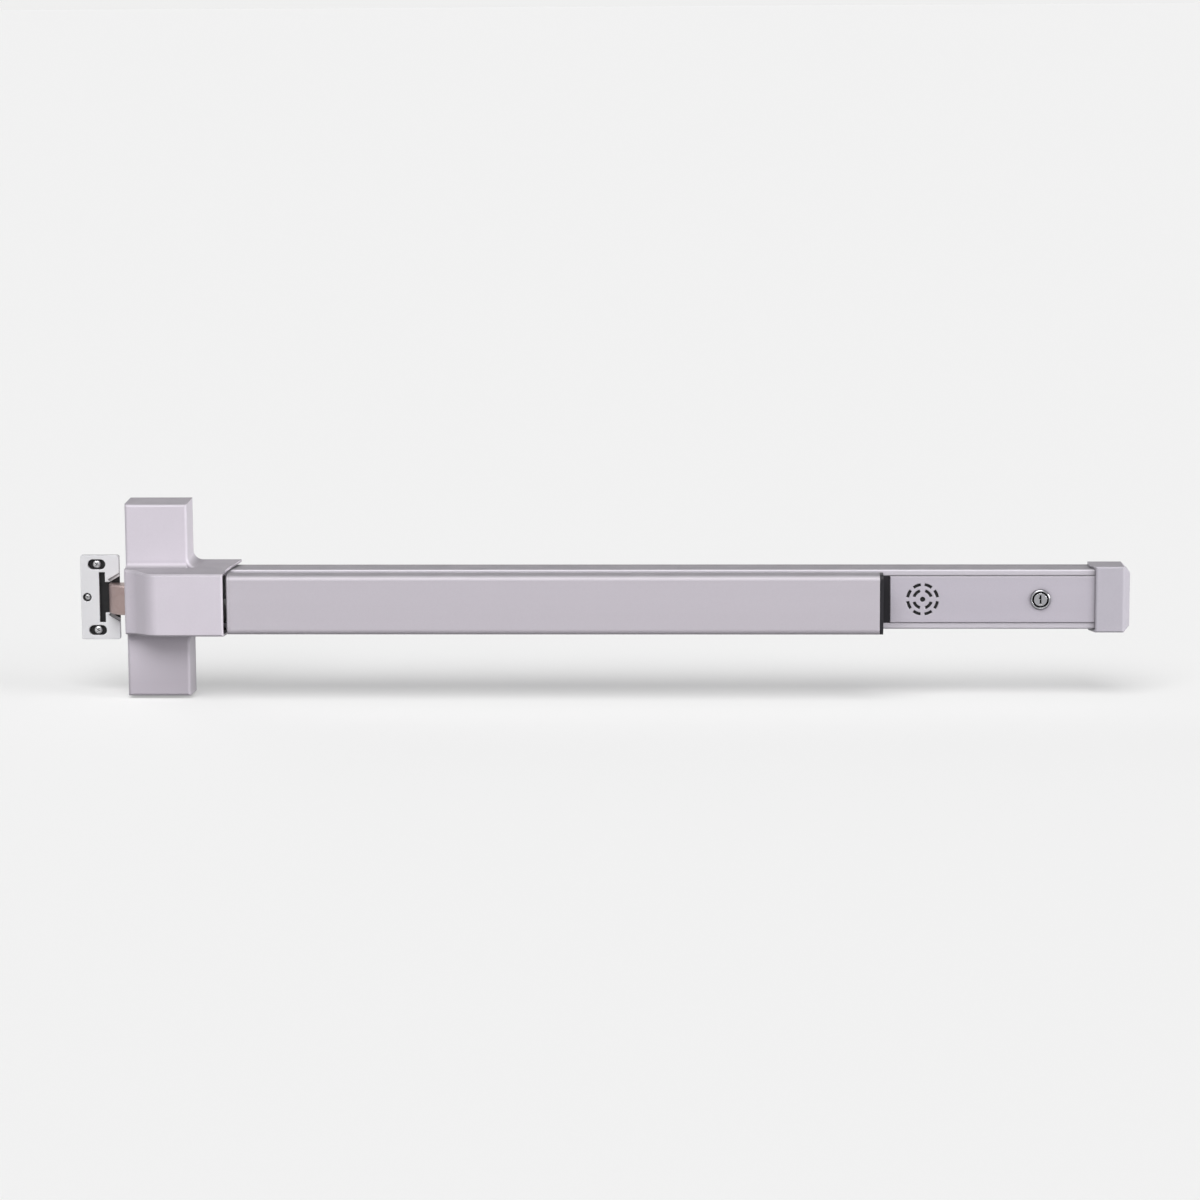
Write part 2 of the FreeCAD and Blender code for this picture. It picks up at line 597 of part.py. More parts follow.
def make_latch_bolt():
    """Sliding bolt: flat against the strike, rounded towards the room, with a post for the rod's hook."""
    shoulder = HEAD_LEFT - LATCH_CLEAR
    reach = shoulder - LATCH_TIP_X
    nose_depth = LATCH_BACK + LATCH_TIP
    rise = LATCH_FRONT - nose_depth
    half = math.sqrt(0.5)
    start = V(LATCH_TIP_X, -nose_depth, LATCH_BOTTOM)
    middle = V(shoulder - reach * half, -nose_depth - rise * half, LATCH_BOTTOM)
    top = V(shoulder, -LATCH_FRONT, LATCH_BOTTOM)
    corners = [top, V(LATCH_REAR, -LATCH_FRONT, LATCH_BOTTOM), V(LATCH_REAR, -LATCH_BACK, LATCH_BOTTOM),
               V(LATCH_TIP_X, -LATCH_BACK, LATCH_BOTTOM), start]
    edges = [Part.Arc(start, middle, top).toShape()]
    for a, b in zip(corners, corners[1:]):
        edges.append(Part.makeLine(a, b))
    bolt = Part.Face(Part.Wire(edges)).extrude(V(0, 0, LATCH_HEIGHT))
    bolt = bevel_edges(bolt, 0.8, lambda p: p.x < LATCH_TIP_X + 0.1)
    post = box(LATCH_POST_X - LATCH_POST_HALF, LATCH_POST_X + LATCH_POST_HALF, -ROD_DEPTH, -LATCH_FRONT + 1,
               -ROD_HALF, ROD_HALF)
    post = bevel_edges(post, 0.8, lambda p: p.y < -ROD_DEPTH + 0.1)
    room = SPRING_POCKET_HALF
    pocket = box(LATCH_REAR - SPRING_POCKET, LATCH_REAR + 1, -LATCH_SPRING_DEPTH - room,
                 -LATCH_SPRING_DEPTH + room, LATCH_Z - room, LATCH_Z + room)
    return fuse(bolt, post).cut(pocket)


def make_latch_spring():
    return compression_spring(LATCH_REAR - SPRING_POCKET, LATCH_STOP_X, LATCH_SPRING_DEPTH, LATCH_Z, 5)


# ---------------------------------------------------------------- rail and push bar


def make_rail():
    """An extruded channel on the door with two lips turned in over its open front."""
    h = RAIL_HEIGHT / 2
    d = RAIL_DEPTH
    w = RAIL_WALL
    half = [(0, h), (-d, h), (-d, RAIL_OPENING), (-d + w, RAIL_OPENING), (-d + w, h - w), (-w, h - w)]
    rail = prism_x(half + [(y, -z) for y, z in reversed(half)], RAIL_START, RAIL_END)
    rail = round_edges(rail, RAIL_EDGE_RADIUS, lambda p: p.y < -d + 0.1 and abs(p.z) > h - 0.1, "x")
    for y in (-0.3 * d, -0.7 * d):
        for side in (-1, 1):
            rail = rail.cut(box(RAIL_START - 1, RAIL_END + 1, y, y + RAIL_GROOVE,
                                side * (h - RAIL_GROOVE_DEPTH), side * (h + 1)))
    for x in (HEAD_SCREW_X, END_SCREW_X):
        rail = rail.cut(cyl_y(x, 0, SMALL_SCREW_RADIUS, -w - 1, 1))
    for x in tab_places():
        rail = rail.cut(box(x, x + TAB_LENGTH, -w - 1, 1, -TAB_HALF, TAB_HALF))
    return rail


def bracket_tabs(x):
    """Where a crank bracket's two tabs pass through the back of the rail."""
    return [x - BRACKET_HALF_LENGTH + 1, x + BRACKET_HALF_LENGTH - 1 - TAB_LENGTH]


def tab_places():
    return bracket_tabs(CRANK_LEFT_X) + bracket_tabs(CRANK_RIGHT_X) + [SPRING_WALL_X + TAB_LENGTH]


def make_rail_screws():
    """Hexagon-head screws through the two tongues into the rail."""
    screws = []
    for x in (HEAD_SCREW_X, END_SCREW_X):
        head = prism_y(polygon(x, 0, SMALL_HEAD_RADIUS), -BASE_DEPTH - SMALL_HEAD_HEIGHT, -BASE_DEPTH)
        screws.append(fuse(head, cyl_y(x, 0, SMALL_SCREW_RADIUS, -BASE_DEPTH, -HOLE_CLEAR)))
    return Part.makeCompound(screws)


def bar_outline():
    """Section of the push bar: a face with short skirts, and two webs that run into the rail."""
    h = BAR_HEIGHT / 2
    d = BAR_FACE_DEPTH
    w = BAR_WALL
    skirt = d - BAR_SKIRT
    web = BAR_WEB_HALF
    half = [(-d, h), (-skirt, h), (-skirt, h - w), (-d + w, h - w), (-d + w, web),
            (-WEB_END_DEPTH, web), (-WEB_END_DEPTH, web - w), (-d + w, web - w)]
    return half + [(y, -z) for y, z in reversed(half)]


def make_push_bar():
    bar = prism_x(bar_outline(), BAR_START + BAR_CAP_LEFT, BAR_END)
    face = -BAR_FACE_DEPTH + 0.1
    high = BAR_HEIGHT / 2 - 0.1
    bar = round_edges(bar, BAR_CORNER_RADIUS, lambda p: p.y < face and abs(p.z) > high, "x")
    inner = -BAR_FACE_DEPTH + BAR_WALL
    corner = BAR_HEIGHT / 2 - BAR_WALL
    bar = round_edges(bar, BAR_CORNER_RADIUS - BAR_WALL,
                      lambda p: abs(p.y - inner) < 0.1 and abs(abs(p.z) - corner) < 0.1, "x")
    for x in bar_pin_places():
        bar = bar.cut(squared(x, BAR_PIN_DEPTH, PIN_RADIUS, -BAR_WEB_HALF - 1, BAR_WEB_HALF + 1))
    return bar


def bar_pin_places():
    return [CRANK_LEFT_X + CRANK_ARM, CRANK_RIGHT_X + CRANK_ARM]


def make_bar_pins():
    inside = BAR_WEB_HALF - BAR_WALL
    return Part.makeCompound([staked_pin(x, BAR_PIN_DEPTH, PIN_RADIUS, inside, BAR_WEB_HALF)
                              for x in bar_pin_places()])


def bar_cap(x0, x1, reach):
    """An end plate for the bar with a stem that reaches down between the rail's lips."""
    h = BAR_HEIGHT / 2
    d = BAR_FACE_DEPTH
    skirt = d - BAR_SKIRT
    half = [(-d, h), (-skirt, h), (-skirt, BAR_WEB_HALF), (-reach, BAR_WEB_HALF)]
    cap = prism_x(half + [(y, -z) for y, z in reversed(half)], x0, x1)
    return round_edges(cap, BAR_CORNER_RADIUS, lambda p: p.y < -d + 0.1 and abs(p.z) > h - 0.1, "x")


def cap_plugs(x0, x1):
    """Blocks that push into the two side chambers of the bar and hold a cap on."""
    front = BAR_FACE_DEPTH - BAR_CORNER_RADIUS
    outer = BAR_HEIGHT / 2 - BAR_WALL - PLUG_CLEAR
    inner = BAR_WEB_HALF + PLUG_CLEAR
    return [box(x0, x1, -front, -front + PLUG_HEIGHT, side * inner, side * outer) for side in (-1, 1)]


def make_left_bar_cap():
    cap = bar_cap(BAR_START, BAR_START + BAR_CAP_LEFT, BAR_CAP_REACH)
    face = -BAR_FACE_DEPTH + 0.1
    high = BAR_HEIGHT / 2 - 0.1
    skirt = -BAR_FACE_DEPTH + BAR_SKIRT - 1
    cap = bevel_edges(cap, BAR_CAP_BEVEL, lambda p: p.x < BAR_START + 0.1 and p.y < skirt
                      and (p.y < face or abs(p.z) > high))
    reach = ROD_DEPTH + ROD_HALF_HEIGHT + BAR_TRAVEL + 1.0
    room = ROD_HALF + 2.5
    cap = cap.cut(box(BAR_START - 1, BAR_START + BAR_CAP_LEFT + 1, -reach, -BAR_CAP_REACH + 1, -room, room))
    return fuse(cap, *cap_plugs(BAR_START + BAR_CAP_LEFT, BAR_START + BAR_CAP_LEFT + PLUG_LENGTH))


def make_right_bar_cap():
    cap = bar_cap(BAR_END, CAP_END, WEB_END_DEPTH + 2)
    return fuse(cap, *cap_plugs(BAR_END - PLUG_LENGTH, BAR_END))


def make_crank_bracket(x):
    """A U-shaped bracket staked to the back of the rail, with a cheek each side of the crank."""
    foot = BRACKET_HALF_LENGTH
    ear = PIVOT_RADIUS + 2
    top = PIVOT_DEPTH + ear
    bracket = box(x - foot, x + foot, -BASE_DEPTH, -RAIL_WALL, -BRACKET_FOOT_HALF, BRACKET_FOOT_HALF)
    side = [(x - foot + 2, -BASE_DEPTH), (x + foot - 2, -BASE_DEPTH), (x + ear, -PIVOT_DEPTH),
            (x + ear / 2, -top), (x - ear / 2, -top), (x - ear, -PIVOT_DEPTH)]
    for z in (-CHEEK_OUTSIDE, CHEEK_INSIDE):
        bracket = fuse(bracket, prism_z(side, z, z + BRACKET_THICK))
    for tab in bracket_tabs(x):
        bracket = fuse(bracket, box(tab, tab + TAB_LENGTH, -RAIL_WALL, -HOLE_CLEAR, -TAB_HALF, TAB_HALF))
    return bracket.cut(squared(x, PIVOT_DEPTH, PIVOT_RADIUS, -CHEEK_OUTSIDE - 1, CHEEK_OUTSIDE + 1))


def make_pivot_pins():
    return Part.makeCompound([staked_pin(x, PIVOT_DEPTH, PIVOT_RADIUS, CHEEK_INSIDE, CHEEK_OUTSIDE)
                              for x in (CRANK_LEFT_X, CRANK_RIGHT_X)])


def make_crank(x):
    """A bell crank: a slotted arm on the push bar's pin, and a finger in the draw rod's notch."""
    y = -PIVOT_DEPTH
    half = CRANK_HALF_THICK
    bar_far = CRANK_ARM / math.cos(math.radians(CRANK_HALF_ANGLE))
    finger = ROD_ARM / math.cos(math.radians(CRANK_HALF_ANGLE))
    bar_arm = link_plate((x, y), CRANK_ROOT_RADIUS, (x + bar_far, y), CRANK_TIP_RADIUS, -half, half)
    rod_arm = link_plate((x, y), CRANK_ROOT_RADIUS, (x, y - finger), FINGER_NECK, -half, half)
    rod_arm = fuse(rod_arm, cyl_z(x, y - finger, FINGER_RADIUS, -half, half))
    gusset = prism_z([(x, y), (x + 0.62 * bar_far, y - 3), (x + 3, y - 0.62 * finger)], -half, half)
    crank = fuse(bar_arm, rod_arm, gusset)
    slot = PIN_RADIUS + SLOT_CLEAR
    crank = crank.cut(box(x + CRANK_ARM - slot, x + bar_far + slot, y - slot, y + slot, -half - 1, half + 1))
    crank = crank.cut(cyl_z(x, y, PIVOT_RADIUS + RUNNING_CLEAR, -half - 1, half + 1))
    crank.rotate(V(x, y, 0), V(0, 0, 1), -CRANK_HALF_ANGLE)
    return crank


def make_rod():
    """The flat draw rod: notched for the cranks' fingers, with a hook end that pulls the latch's post.

    The hook's notch is longer than the latch's travel, so the latch can also be pushed in alone.
    """
    deep = ROD_DEPTH + ROD_HALF_HEIGHT
    shallow = ROD_DEPTH - ROD_HALF_HEIGHT
    bottom = deep - NOTCH_BACK
    hook_left = LATCH_POST_X - LATCH_POST_HALF - SLOT_CLEAR
    hook_right = LATCH_POST_X + LATCH_POST_HALF + LATCH_TRAVEL + 1
    x0 = hook_left - 4
    rod = box(x0, ROD_RIGHT, -deep, -shallow, -ROD_HALF, ROD_HALF)
    rod = rod.cut(box(hook_left, hook_right, -bottom, -shallow + 1, -ROD_HALF - 1, ROD_HALF + 1))
    width = FINGER_RADIUS + SLOT_CLEAR
    mouth = width + NOTCH_FLARE
    waist = -ROD_DEPTH + NOTCH_FLARE
    for x in (CRANK_LEFT_X, CRANK_RIGHT_X):
        middle = x - LATCH_TRAVEL / 2
        notch = [(middle - width, -bottom), (middle + width, -bottom), (middle + width, waist),
                 (middle + mouth, -shallow + 0.1), (middle - mouth, -shallow + 0.1), (middle - width, waist)]
        rod = rod.cut(prism_z(notch, -ROD_HALF - 1, ROD_HALF + 1))
    half = ROD_SHOULDER_HALF
    shoulder = box(ROD_RIGHT - ROD_SHOULDER, ROD_RIGHT, -ROD_DEPTH - half, -ROD_DEPTH + half, -half, half)
    spigot = cyl_x(-ROD_DEPTH, 0, ROD_SPIGOT_RADIUS, ROD_RIGHT, SPRING_WALL_X - LATCH_TRAVEL / 2)
    return fuse(rod, shoulder, spigot)


def make_spring_bracket():
    """The bent plate that the return spring pushes against, with a hole that guides the rod's end."""
    end = SPRING_WALL_X + 2 * TAB_LENGTH + 2
    foot = box(SPRING_WALL_X, end, -BASE_DEPTH, -RAIL_WALL, -BRACKET_FOOT_HALF, BRACKET_FOOT_HALF)
    wall = box(SPRING_WALL_X, SPRING_WALL_X + BRACKET_THICK, -ROD_DEPTH - ROD_HALF_HEIGHT, -BASE_DEPTH,
               -BRACKET_FOOT_HALF, BRACKET_FOOT_HALF)
    x = SPRING_WALL_X + TAB_LENGTH
    tab = box(x, x + TAB_LENGTH, -RAIL_WALL, -HOLE_CLEAR, -TAB_HALF, TAB_HALF)
    guide = cyl_x(-ROD_DEPTH, 0, ROD_SPIGOT_RADIUS + 0.6, SPRING_WALL_X - 1, end)
    return fuse(foot, wall, tab).cut(guide)


def make_return_spring():
    return compression_spring(ROD_RIGHT, SPRING_WALL_X, ROD_DEPTH, 0, 6)


def make_stop_pads():
    """Rubber pads that the ends of the webs land on at full push."""
    pads = []
    top = -WEB_END_DEPTH + BAR_TRAVEL + STOP_PAD_CLEAR
    for x in (CRANK_LEFT_X - STOP_PAD_BEFORE, CRANK_RIGHT_X + STOP_PAD_AFTER):
        for side in (-1, 1):
            z = side * (BAR_WEB_HALF - BAR_WALL / 2)
            pads.append(box(x, x + STOP_PAD_LENGTH, top, -RAIL_WALL, z - STOP_PAD_HALF, z + STOP_PAD_HALF))
    return Part.makeCompound(pads)


# ---------------------------------------------------------------- alarm section


def make_rail_divider():
    """The black block that closes the rail between the push bar and the alarm cover."""
    x0 = CAP_END + DIVIDER_GAP_LEFT
    x1 = COVER_START - DIVIDER_CLEAR
    inside = RAIL_INSIDE - DIVIDER_CLEAR
    lip = RAIL_OPENING - DIVIDER_CLEAR
    neck = -RAIL_DEPTH + RAIL_WALL + DIVIDER_CLEAR
    block = box(x0, x1, neck, -RAIL_WALL - DIVIDER_CLEAR / 2, -inside, inside)
    return fuse(block, box(x0, x1, -RAIL_DEPTH - DIVIDER_CLEAR, neck, -lip, lip))


def ring_slot(x, z, radius, mid_angle, span, y0, y1):
    """A curved slot on a circle about (x, z), cut through along Y."""
    half = GRILLE_SLOT / 2
    ring = cyl_y(x, z, radius + half, y0, y1).cut(cyl_y(x, z, radius - half, y0 - 1, y1 + 1))
    a = math.radians(mid_angle - span / 2)
    b = math.radians(mid_angle + span / 2)
    reach = radius * 3
    wedge = prism_y([(x, z), (x + reach * math.cos(a), z + reach * math.sin(a)),
                     (x + reach * math.cos(b), z + reach * math.sin(b))], y0, y1)
    return ring.common(wedge)


def make_alarm_cover():
    """A shallow channel clipped behind the rail's lips, pierced for the sounder and the key switch."""
    h = COVER_HALF
    w = COVER_SIDE_WALL
    hook = -RAIL_DEPTH + RAIL_WALL + COVER_SIDE_CLEAR
    half = [(-COVER_FACE, h), (hook, h), (hook, h + COVER_BARB), (hook + COVER_BARB, h),
            (-COVER_SIDE_REACH, h), (-COVER_SIDE_REACH, h - w), (-COVER_BACK, h - w)]
    cover = prism_x(half + [(y, -z) for y, z in reversed(half)], COVER_START, COVER_END + COVER_UNDER_CAP)
    cover = bevel_edges(cover, COVER_BEVEL, lambda p: p.y < -COVER_FACE + 0.1)
    y0 = -COVER_FACE - 1
    y1 = -COVER_BACK + 1
    cover = cover.cut(cyl_y(GRILLE_X, 0, GRILLE_CENTRE_RADIUS, y0, y1))
    for k in range(4):
        cover = cover.cut(ring_slot(GRILLE_X, 0, GRILLE_INNER_RING, 45 + 90 * k, 56, y0, y1))
    for k in range(8):
        cover = cover.cut(ring_slot(GRILLE_X, 0, GRILLE_OUTER_RING, 22.5 + 45 * k, 30, y0, y1))
    return cover.cut(cyl_y(KEY_X, 0, KEY_BARREL_RADIUS, y0, y1))


def mesh_half():
    """Half the mesh patch's side, limited by the cover's side walls."""
    return min(MESH_HALF, COVER_HALF - COVER_SIDE_WALL - COVER_SIDE_CLEAR)


def make_sounder_mesh():
    half = mesh_half()
    return box(GRILLE_X - half, GRILLE_X + half, -COVER_BACK, -COVER_BACK + MESH_THICK, -half, half)


def make_sounder():
    """The siren's closed case, from the back of the mesh to the circuit board."""
    half = mesh_half() - COVER_SIDE_CLEAR
    case = box(GRILLE_X - half, GRILLE_X + half, -COVER_BACK + MESH_THICK, -RAIL_WALL - BOARD_DEPTH,
               -half, half)
    return bevel_edges(case, 0.4 * half, lambda p: True, "y")


def board_left():
    return GRILLE_X - BOARD_LENGTH / 2 + 1


def make_circuit_board():
    x0 = board_left()
    front = -RAIL_WALL - BOARD_DEPTH
    return box(x0, x0 + BOARD_LENGTH, front, front + BOARD_THICK, -BOARD_WIDTH / 2, BOARD_WIDTH / 2)


def make_board_chips():
    """A chip, a terminal block and a relay on the board beside the sounder."""
    x0 = board_left() + BOARD_LENGTH - 5.5
    front = -RAIL_WALL - BOARD_DEPTH
    low = -BOARD_WIDTH / 2
    chip = box(x0, x0 + 5, front - 1.6, front, -4, 4)
    terminals = box(x0 + 0.5, x0 + 5, front - 4.5, front, low + 1, low + 7)
    relay = box(x0 + 0.5, x0 + 5, front - 7, front, 6, 11)
    return Part.makeCompound([chip, terminals, relay])


def make_alarm_tray():
    """The moulded carrier on the rail's back: a trough for the battery and four posts for the board."""
    x0 = board_left()
    x1 = BATTERY_X - BATTERY_CLEAR
    floor = -RAIL_WALL - TRAY_FLOOR
    half = BATTERY_HALF + BATTERY_CLEAR + TRAY_WALL
    side = -TRAY_SIDE_DEPTH
    tray = box(x0, BATTERY_END, floor, -RAIL_WALL, -half, half)
    walls = [
        box(x1 - TRAY_WALL, x1, side, floor, -half, half),
        box(x1, BATTERY_END, side, floor, -half, -half + TRAY_WALL),
        box(x1, BATTERY_END, side, floor, half - TRAY_WALL, half),
    ]
    back = -RAIL_WALL - BOARD_DEPTH + BOARD_THICK
    inset = BOARD_WIDTH / 2 - TRAY_POST
    for x in (x0, x0 + BOARD_LENGTH - TRAY_POST):
        for z in (-inset - TRAY_POST, inset):
            walls.append(box(x, x + TRAY_POST, back, floor, z, z + TRAY_POST))
    return fuse(tray, *walls)


def make_battery():
    """A nine-volt block battery with its two round terminals."""
    front = -BATTERY_DEPTH - BATTERY_THICK / 2
    back = -RAIL_WALL - TRAY_FLOOR
    block = box(BATTERY_X, BATTERY_END, front, back, -BATTERY_HALF, BATTERY_HALF)
    block = bevel_edges(block, 1.2, lambda p: True, "x")
    tip = BATTERY_END + TERMINAL_HEIGHT
    male = cyl_x(-BATTERY_DEPTH, -TERMINAL_HALF_PITCH, 0.9 * TERMINAL_RADIUS, BATTERY_END, tip)
    female = prism_x(polygon(-BATTERY_DEPTH, TERMINAL_HALF_PITCH, TERMINAL_RADIUS), BATTERY_END, tip)
    return fuse(block, male, female)


def make_battery_clip():
    """The snap clip pressed over the battery's terminals."""
    x0 = BATTERY_END + BATTERY_CLEAR
    half = TERMINAL_HALF_PITCH + TERMINAL_RADIUS + 2
    height = TERMINAL_RADIUS + 2
    clip = box(x0, x0 + CLIP_THICK, -BATTERY_DEPTH - height, -BATTERY_DEPTH + height, -half, half)
    inner = TERMINAL_RADIUS + BATTERY_CLEAR
    wide = TERMINAL_HALF_PITCH + inner
    return clip.cut(box(x0 - 1, BATTERY_END + TERMINAL_HEIGHT + BATTERY_CLEAR, -BATTERY_DEPTH - inner,
                        -BATTERY_DEPTH + inner, -wide, wide))


def make_key_barrel():
    """The lock barrel: a bezel on the cover's face and a round body behind it."""
    front = -COVER_FACE - KEY_BEZEL_PROUD
    bezel = cyl_y(KEY_X, 0, KEY_BEZEL_RADIUS, front, -COVER_FACE)
    body = cyl_y(KEY_X, 0, KEY_BARREL_RADIUS, -COVER_FACE, -KEY_BARREL_REAR)
    bore = cyl_y(KEY_X, 0, KEY_PLUG_RADIUS + RUNNING_CLEAR, front - 1, -KEY_BARREL_REAR + 1)
    return fuse(bezel, body).cut(bore)


def make_key_nut():
    """The hexagon nut that clamps the barrel from behind the cover."""
    nut = prism_y(polygon(KEY_X, 0, KEY_NUT_RADIUS), -COVER_BACK, -COVER_BACK + KEY_NUT_THICK)
    return nut.cut(cyl_y(KEY_X, 0, KEY_BARREL_RADIUS, -COVER_BACK - 1, -COVER_BACK + KEY_NUT_THICK + 1))


def make_key_plug():
    """The turning plug, with its keyway and a tail into the switch behind."""
    front = -COVER_FACE - KEY_BEZEL_PROUD + HOLE_CLEAR
    back = -KEY_BARREL_REAR - RUNNING_CLEAR
    plug = cyl_y(KEY_X, 0, KEY_PLUG_RADIUS, front, back)
    deep = front + 9
    slot = box(KEY_X - 0.7, KEY_X + 0.7, front - 1, deep, -3.6, 3.6)
    ward = box(KEY_X - 1.5, KEY_X + 0.7, front - 1, deep, 0.6, 1.6)
    plug = plug.cut(slot).cut(ward)
    half = KEY_TAIL_HALF
    return fuse(plug, box(KEY_X - half, KEY_X + half, back, -KEY_BARREL_REAR + KEY_TAIL, -half, half))


def make_key_switch():
    """The square switch body on the back of the barrel, with two contact pins."""
    half = KEY_BARREL_RADIUS
    back = -KEY_BARREL_REAR + KEY_SWITCH_THICK
    body = box(KEY_X - half, KEY_X + half, -KEY_BARREL_REAR, back, -half, half)
    room = 1.5 * KEY_TAIL_HALF
    body = body.cut(box(KEY_X - room, KEY_X + room, -KEY_BARREL_REAR - 1,
                        -KEY_BARREL_REAR + KEY_TAIL + HOLE_CLEAR, -room, room))
    for z in (-3, 3):
        body = fuse(body, box(KEY_X - 1.4, KEY_X + 1.4, back, back + 2, z - 0.4, z + 0.4))
    return body


def make_magnet():
    """The magnet inside the bar's end, which the sensor in the rail feels when the bar is pushed."""
    x = BAR_END - MAGNET_FROM_END
    inner = BAR_WEB_HALF - BAR_WALL
    return box(x, x + MAGNET_LENGTH, -MAGNET_DEPTH - MAGNET_HEIGHT, -MAGNET_DEPTH,
               inner - MAGNET_WIDTH, inner)


def make_reed_sensor():
    """The sensor on the rail's back, between the spring bracket's foot and the bar's web."""
    x = BAR_END - MAGNET_FROM_END + 1
    inner = BRACKET_FOOT_HALF + SENSOR_CLEAR
    outer = BAR_WEB_HALF - BAR_WALL - SENSOR_WEB_CLEAR
    return box(x, x + SENSOR_LENGTH, -RAIL_WALL - SENSOR_HEIGHT, -RAIL_WALL, inner, outer)


# ---------------------------------------------------------------- far end


def make_end_bracket():
    """The plate under the end cap: fixed to the door, with a tongue into the rail and a screw tab."""
    half = END_PLATE_HALF
    x1 = END_CAP_END - END_CAP_WALL - PLATE_CLEAR
    bevel = END_CAP_BEVEL - 1
    outline = [(RAIL_END + TONGUE_CLEAR, -half), (x1 - bevel, -half), (x1, -half + bevel),
               (x1, half - bevel), (x1 - bevel, half), (RAIL_END + TONGUE_CLEAR, half)]
    plate = prism_y(outline, -PLATE_THICK, 0)
    tongue = box(RAIL_END - TONGUE_REACH, RAIL_END + 2 * TONGUE_THICK, -PLATE_THICK - TONGUE_THICK,
                 -PLATE_THICK, -TONGUE_HALF, TONGUE_HALF)
    x = END_HOLE_X
    reach = CAP_SCREW_DEPTH + SCREW_TAB_HALF
    tab = box(x - SCREW_TAB_HALF / 2, x + SCREW_TAB_HALF / 2, -reach, -PLATE_THICK, -half,
              -half + SCREW_TAB_THICK)
    bracket = fuse(plate, tongue, tab)
    for z in (-END_HOLE_PITCH_Z / 2, END_HOLE_PITCH_Z / 2):
        bracket = bracket.cut(cyl_y(x, z, END_HOLE_RADIUS, -PLATE_THICK - 1, 1))
    bracket = bracket.cut(cyl_y(END_SCREW_X, 0, SMALL_SCREW_RADIUS, -BASE_DEPTH - 1, 1))
    return bracket.cut(cyl_z(x, -CAP_SCREW_DEPTH, SMALL_SCREW_RADIUS, -half - 1, -half + SCREW_TAB_THICK + 1))


def end_cap_block(inset, grow):
    """The end cap's outside, or the space in it: bevelled at the far end, slanted at the near one."""
    x0 = COVER_END - END_CAP_OVERLAP - grow
    x_face = COVER_END - grow
    x1 = END_CAP_END - inset
    d = END_CAP_DEPTH - inset
    b = END_CAP_BEVEL
    h = END_CAP_HALF - inset
    side = [(x0, inset), (x0, -END_CAP_SIDE_DEPTH), (x_face, -d), (x1 - b, -d), (x1, -d + b), (x1, inset)]
    front = [(x0, -h), (x1 - b, -h), (x1, -h + b), (x1, h - b), (x1 - b, h), (x0, h)]
    return prism_z(side, -h, h).common(prism_y(front, -d, inset))


def make_end_cap():
    cap = end_cap_block(0, 0)
    edge = -END_CAP_DEPTH + 0.1
    near = COVER_END - 0.1
    cap = bevel_edges(cap, END_CAP_EDGE, lambda p: p.y < edge and p.x > near)
    cap = cap.cut(end_cap_block(END_CAP_WALL, END_CAP_OVERLAP + 4))
    outside = -END_CAP_HALF - 1
    room = SMALL_HEAD_RADIUS + 2 * HOLE_CLEAR
    pocket = prism_z(polygon(END_HOLE_X, -CAP_SCREW_DEPTH, room), outside, CAP_SEAT_Z)
    hole = cyl_z(END_HOLE_X, -CAP_SCREW_DEPTH, SMALL_SCREW_RADIUS + HOLE_CLEAR, outside,
                 CAP_SEAT_Z + END_CAP_WALL)
    return cap.cut(pocket).cut(hole)


def make_end_cap_screw():
    return upright_screw(END_HOLE_X, CAP_SCREW_DEPTH, CAP_SEAT_Z,
                         -END_PLATE_HALF + SCREW_TAB_THICK + SCREW_PAST_TAB)


# ---------------------------------------------------------------- strike


def strike_block(y0, y1):
    z0 = LATCH_Z - STRIKE_HEIGHT / 2
    block = box(STRIKE_LEFT, STRIKE_RIGHT, y0, y1, z0, z0 + STRIKE_HEIGHT)
    return round_edges(block, STRIKE_CORNER, lambda p: True, "y")


def strike_screw_places():
    x = STRIKE_LEFT + STRIKE_SCREW_FROM_LEFT
    reach = STRIKE_HEIGHT / 2 - STRIKE_SCREW_FROM_END
    return [(x, LATCH_Z - reach), (x, LATCH_Z + reach)]


def make_strike_plate():
    """The cast keeper: slotted fixing holes, an upright slot and a mouth that funnels the latch in."""
    front = -STRIKE_FRONT
    y0 = front - 1
    y1 = -STRIKE_BACKING + 1
    plate = strike_block(front, -STRIKE_BACKING)
    slot_x = STRIKE_LEFT + STRIKE_SLOT_FROM_LEFT
    slot_half = STRIKE_HEIGHT / 2 - STRIKE_SLOT_END
    plate = plate.cut(box(slot_x, slot_x + STRIKE_SLOT_WIDTH, y0, y1,
                          LATCH_Z - slot_half, LATCH_Z + slot_half))
    near = STRIKE_MOUTH_NEAR
    far = STRIKE_MOUTH_FAR
    neck = slot_x + STRIKE_NECK
    edge = STRIKE_RIGHT + 1
    mouth = [(slot_x + 4, near), (neck, near), (edge, far), (edge, -far), (neck, -near), (slot_x + 4, -near)]
    plate = plate.cut(prism_y([(x, z + LATCH_Z) for x, z in mouth], y0, y1))
    ramp = [(neck + 0.6, near), (edge, far), (edge, far + 2.6), (neck - 1.4, near + 2.0)]
    for side in (-1, 1):
        plate = plate.cut(prism_y([(x, side * z + LATCH_Z) for x, z in ramp], y0, front + STRIKE_RAMP))
    r = STRIKE_SCREW_SLOT
    for x, z in strike_screw_places():
        plate = plate.cut(box(x - STRIKE_SCREW_PLAY, x + STRIKE_SCREW_PLAY, y0, y1, z - r, z + r))
        for end in (x - STRIKE_SCREW_PLAY, x + STRIKE_SCREW_PLAY):
            plate = plate.cut(cyl_y(end, z, r, y0, y1))
    return plate.cut(cyl_y(STRIKE_LEFT + STRIKE_CENTRE_FROM_LEFT, LATCH_Z, STRIKE_CENTRE_HOLE, y0, y1))


def make_strike_backing():
    """The dark wear plate under the keeper, which the latch's flat side bears on."""
    return strike_block(-STRIKE_BACKING, 0)


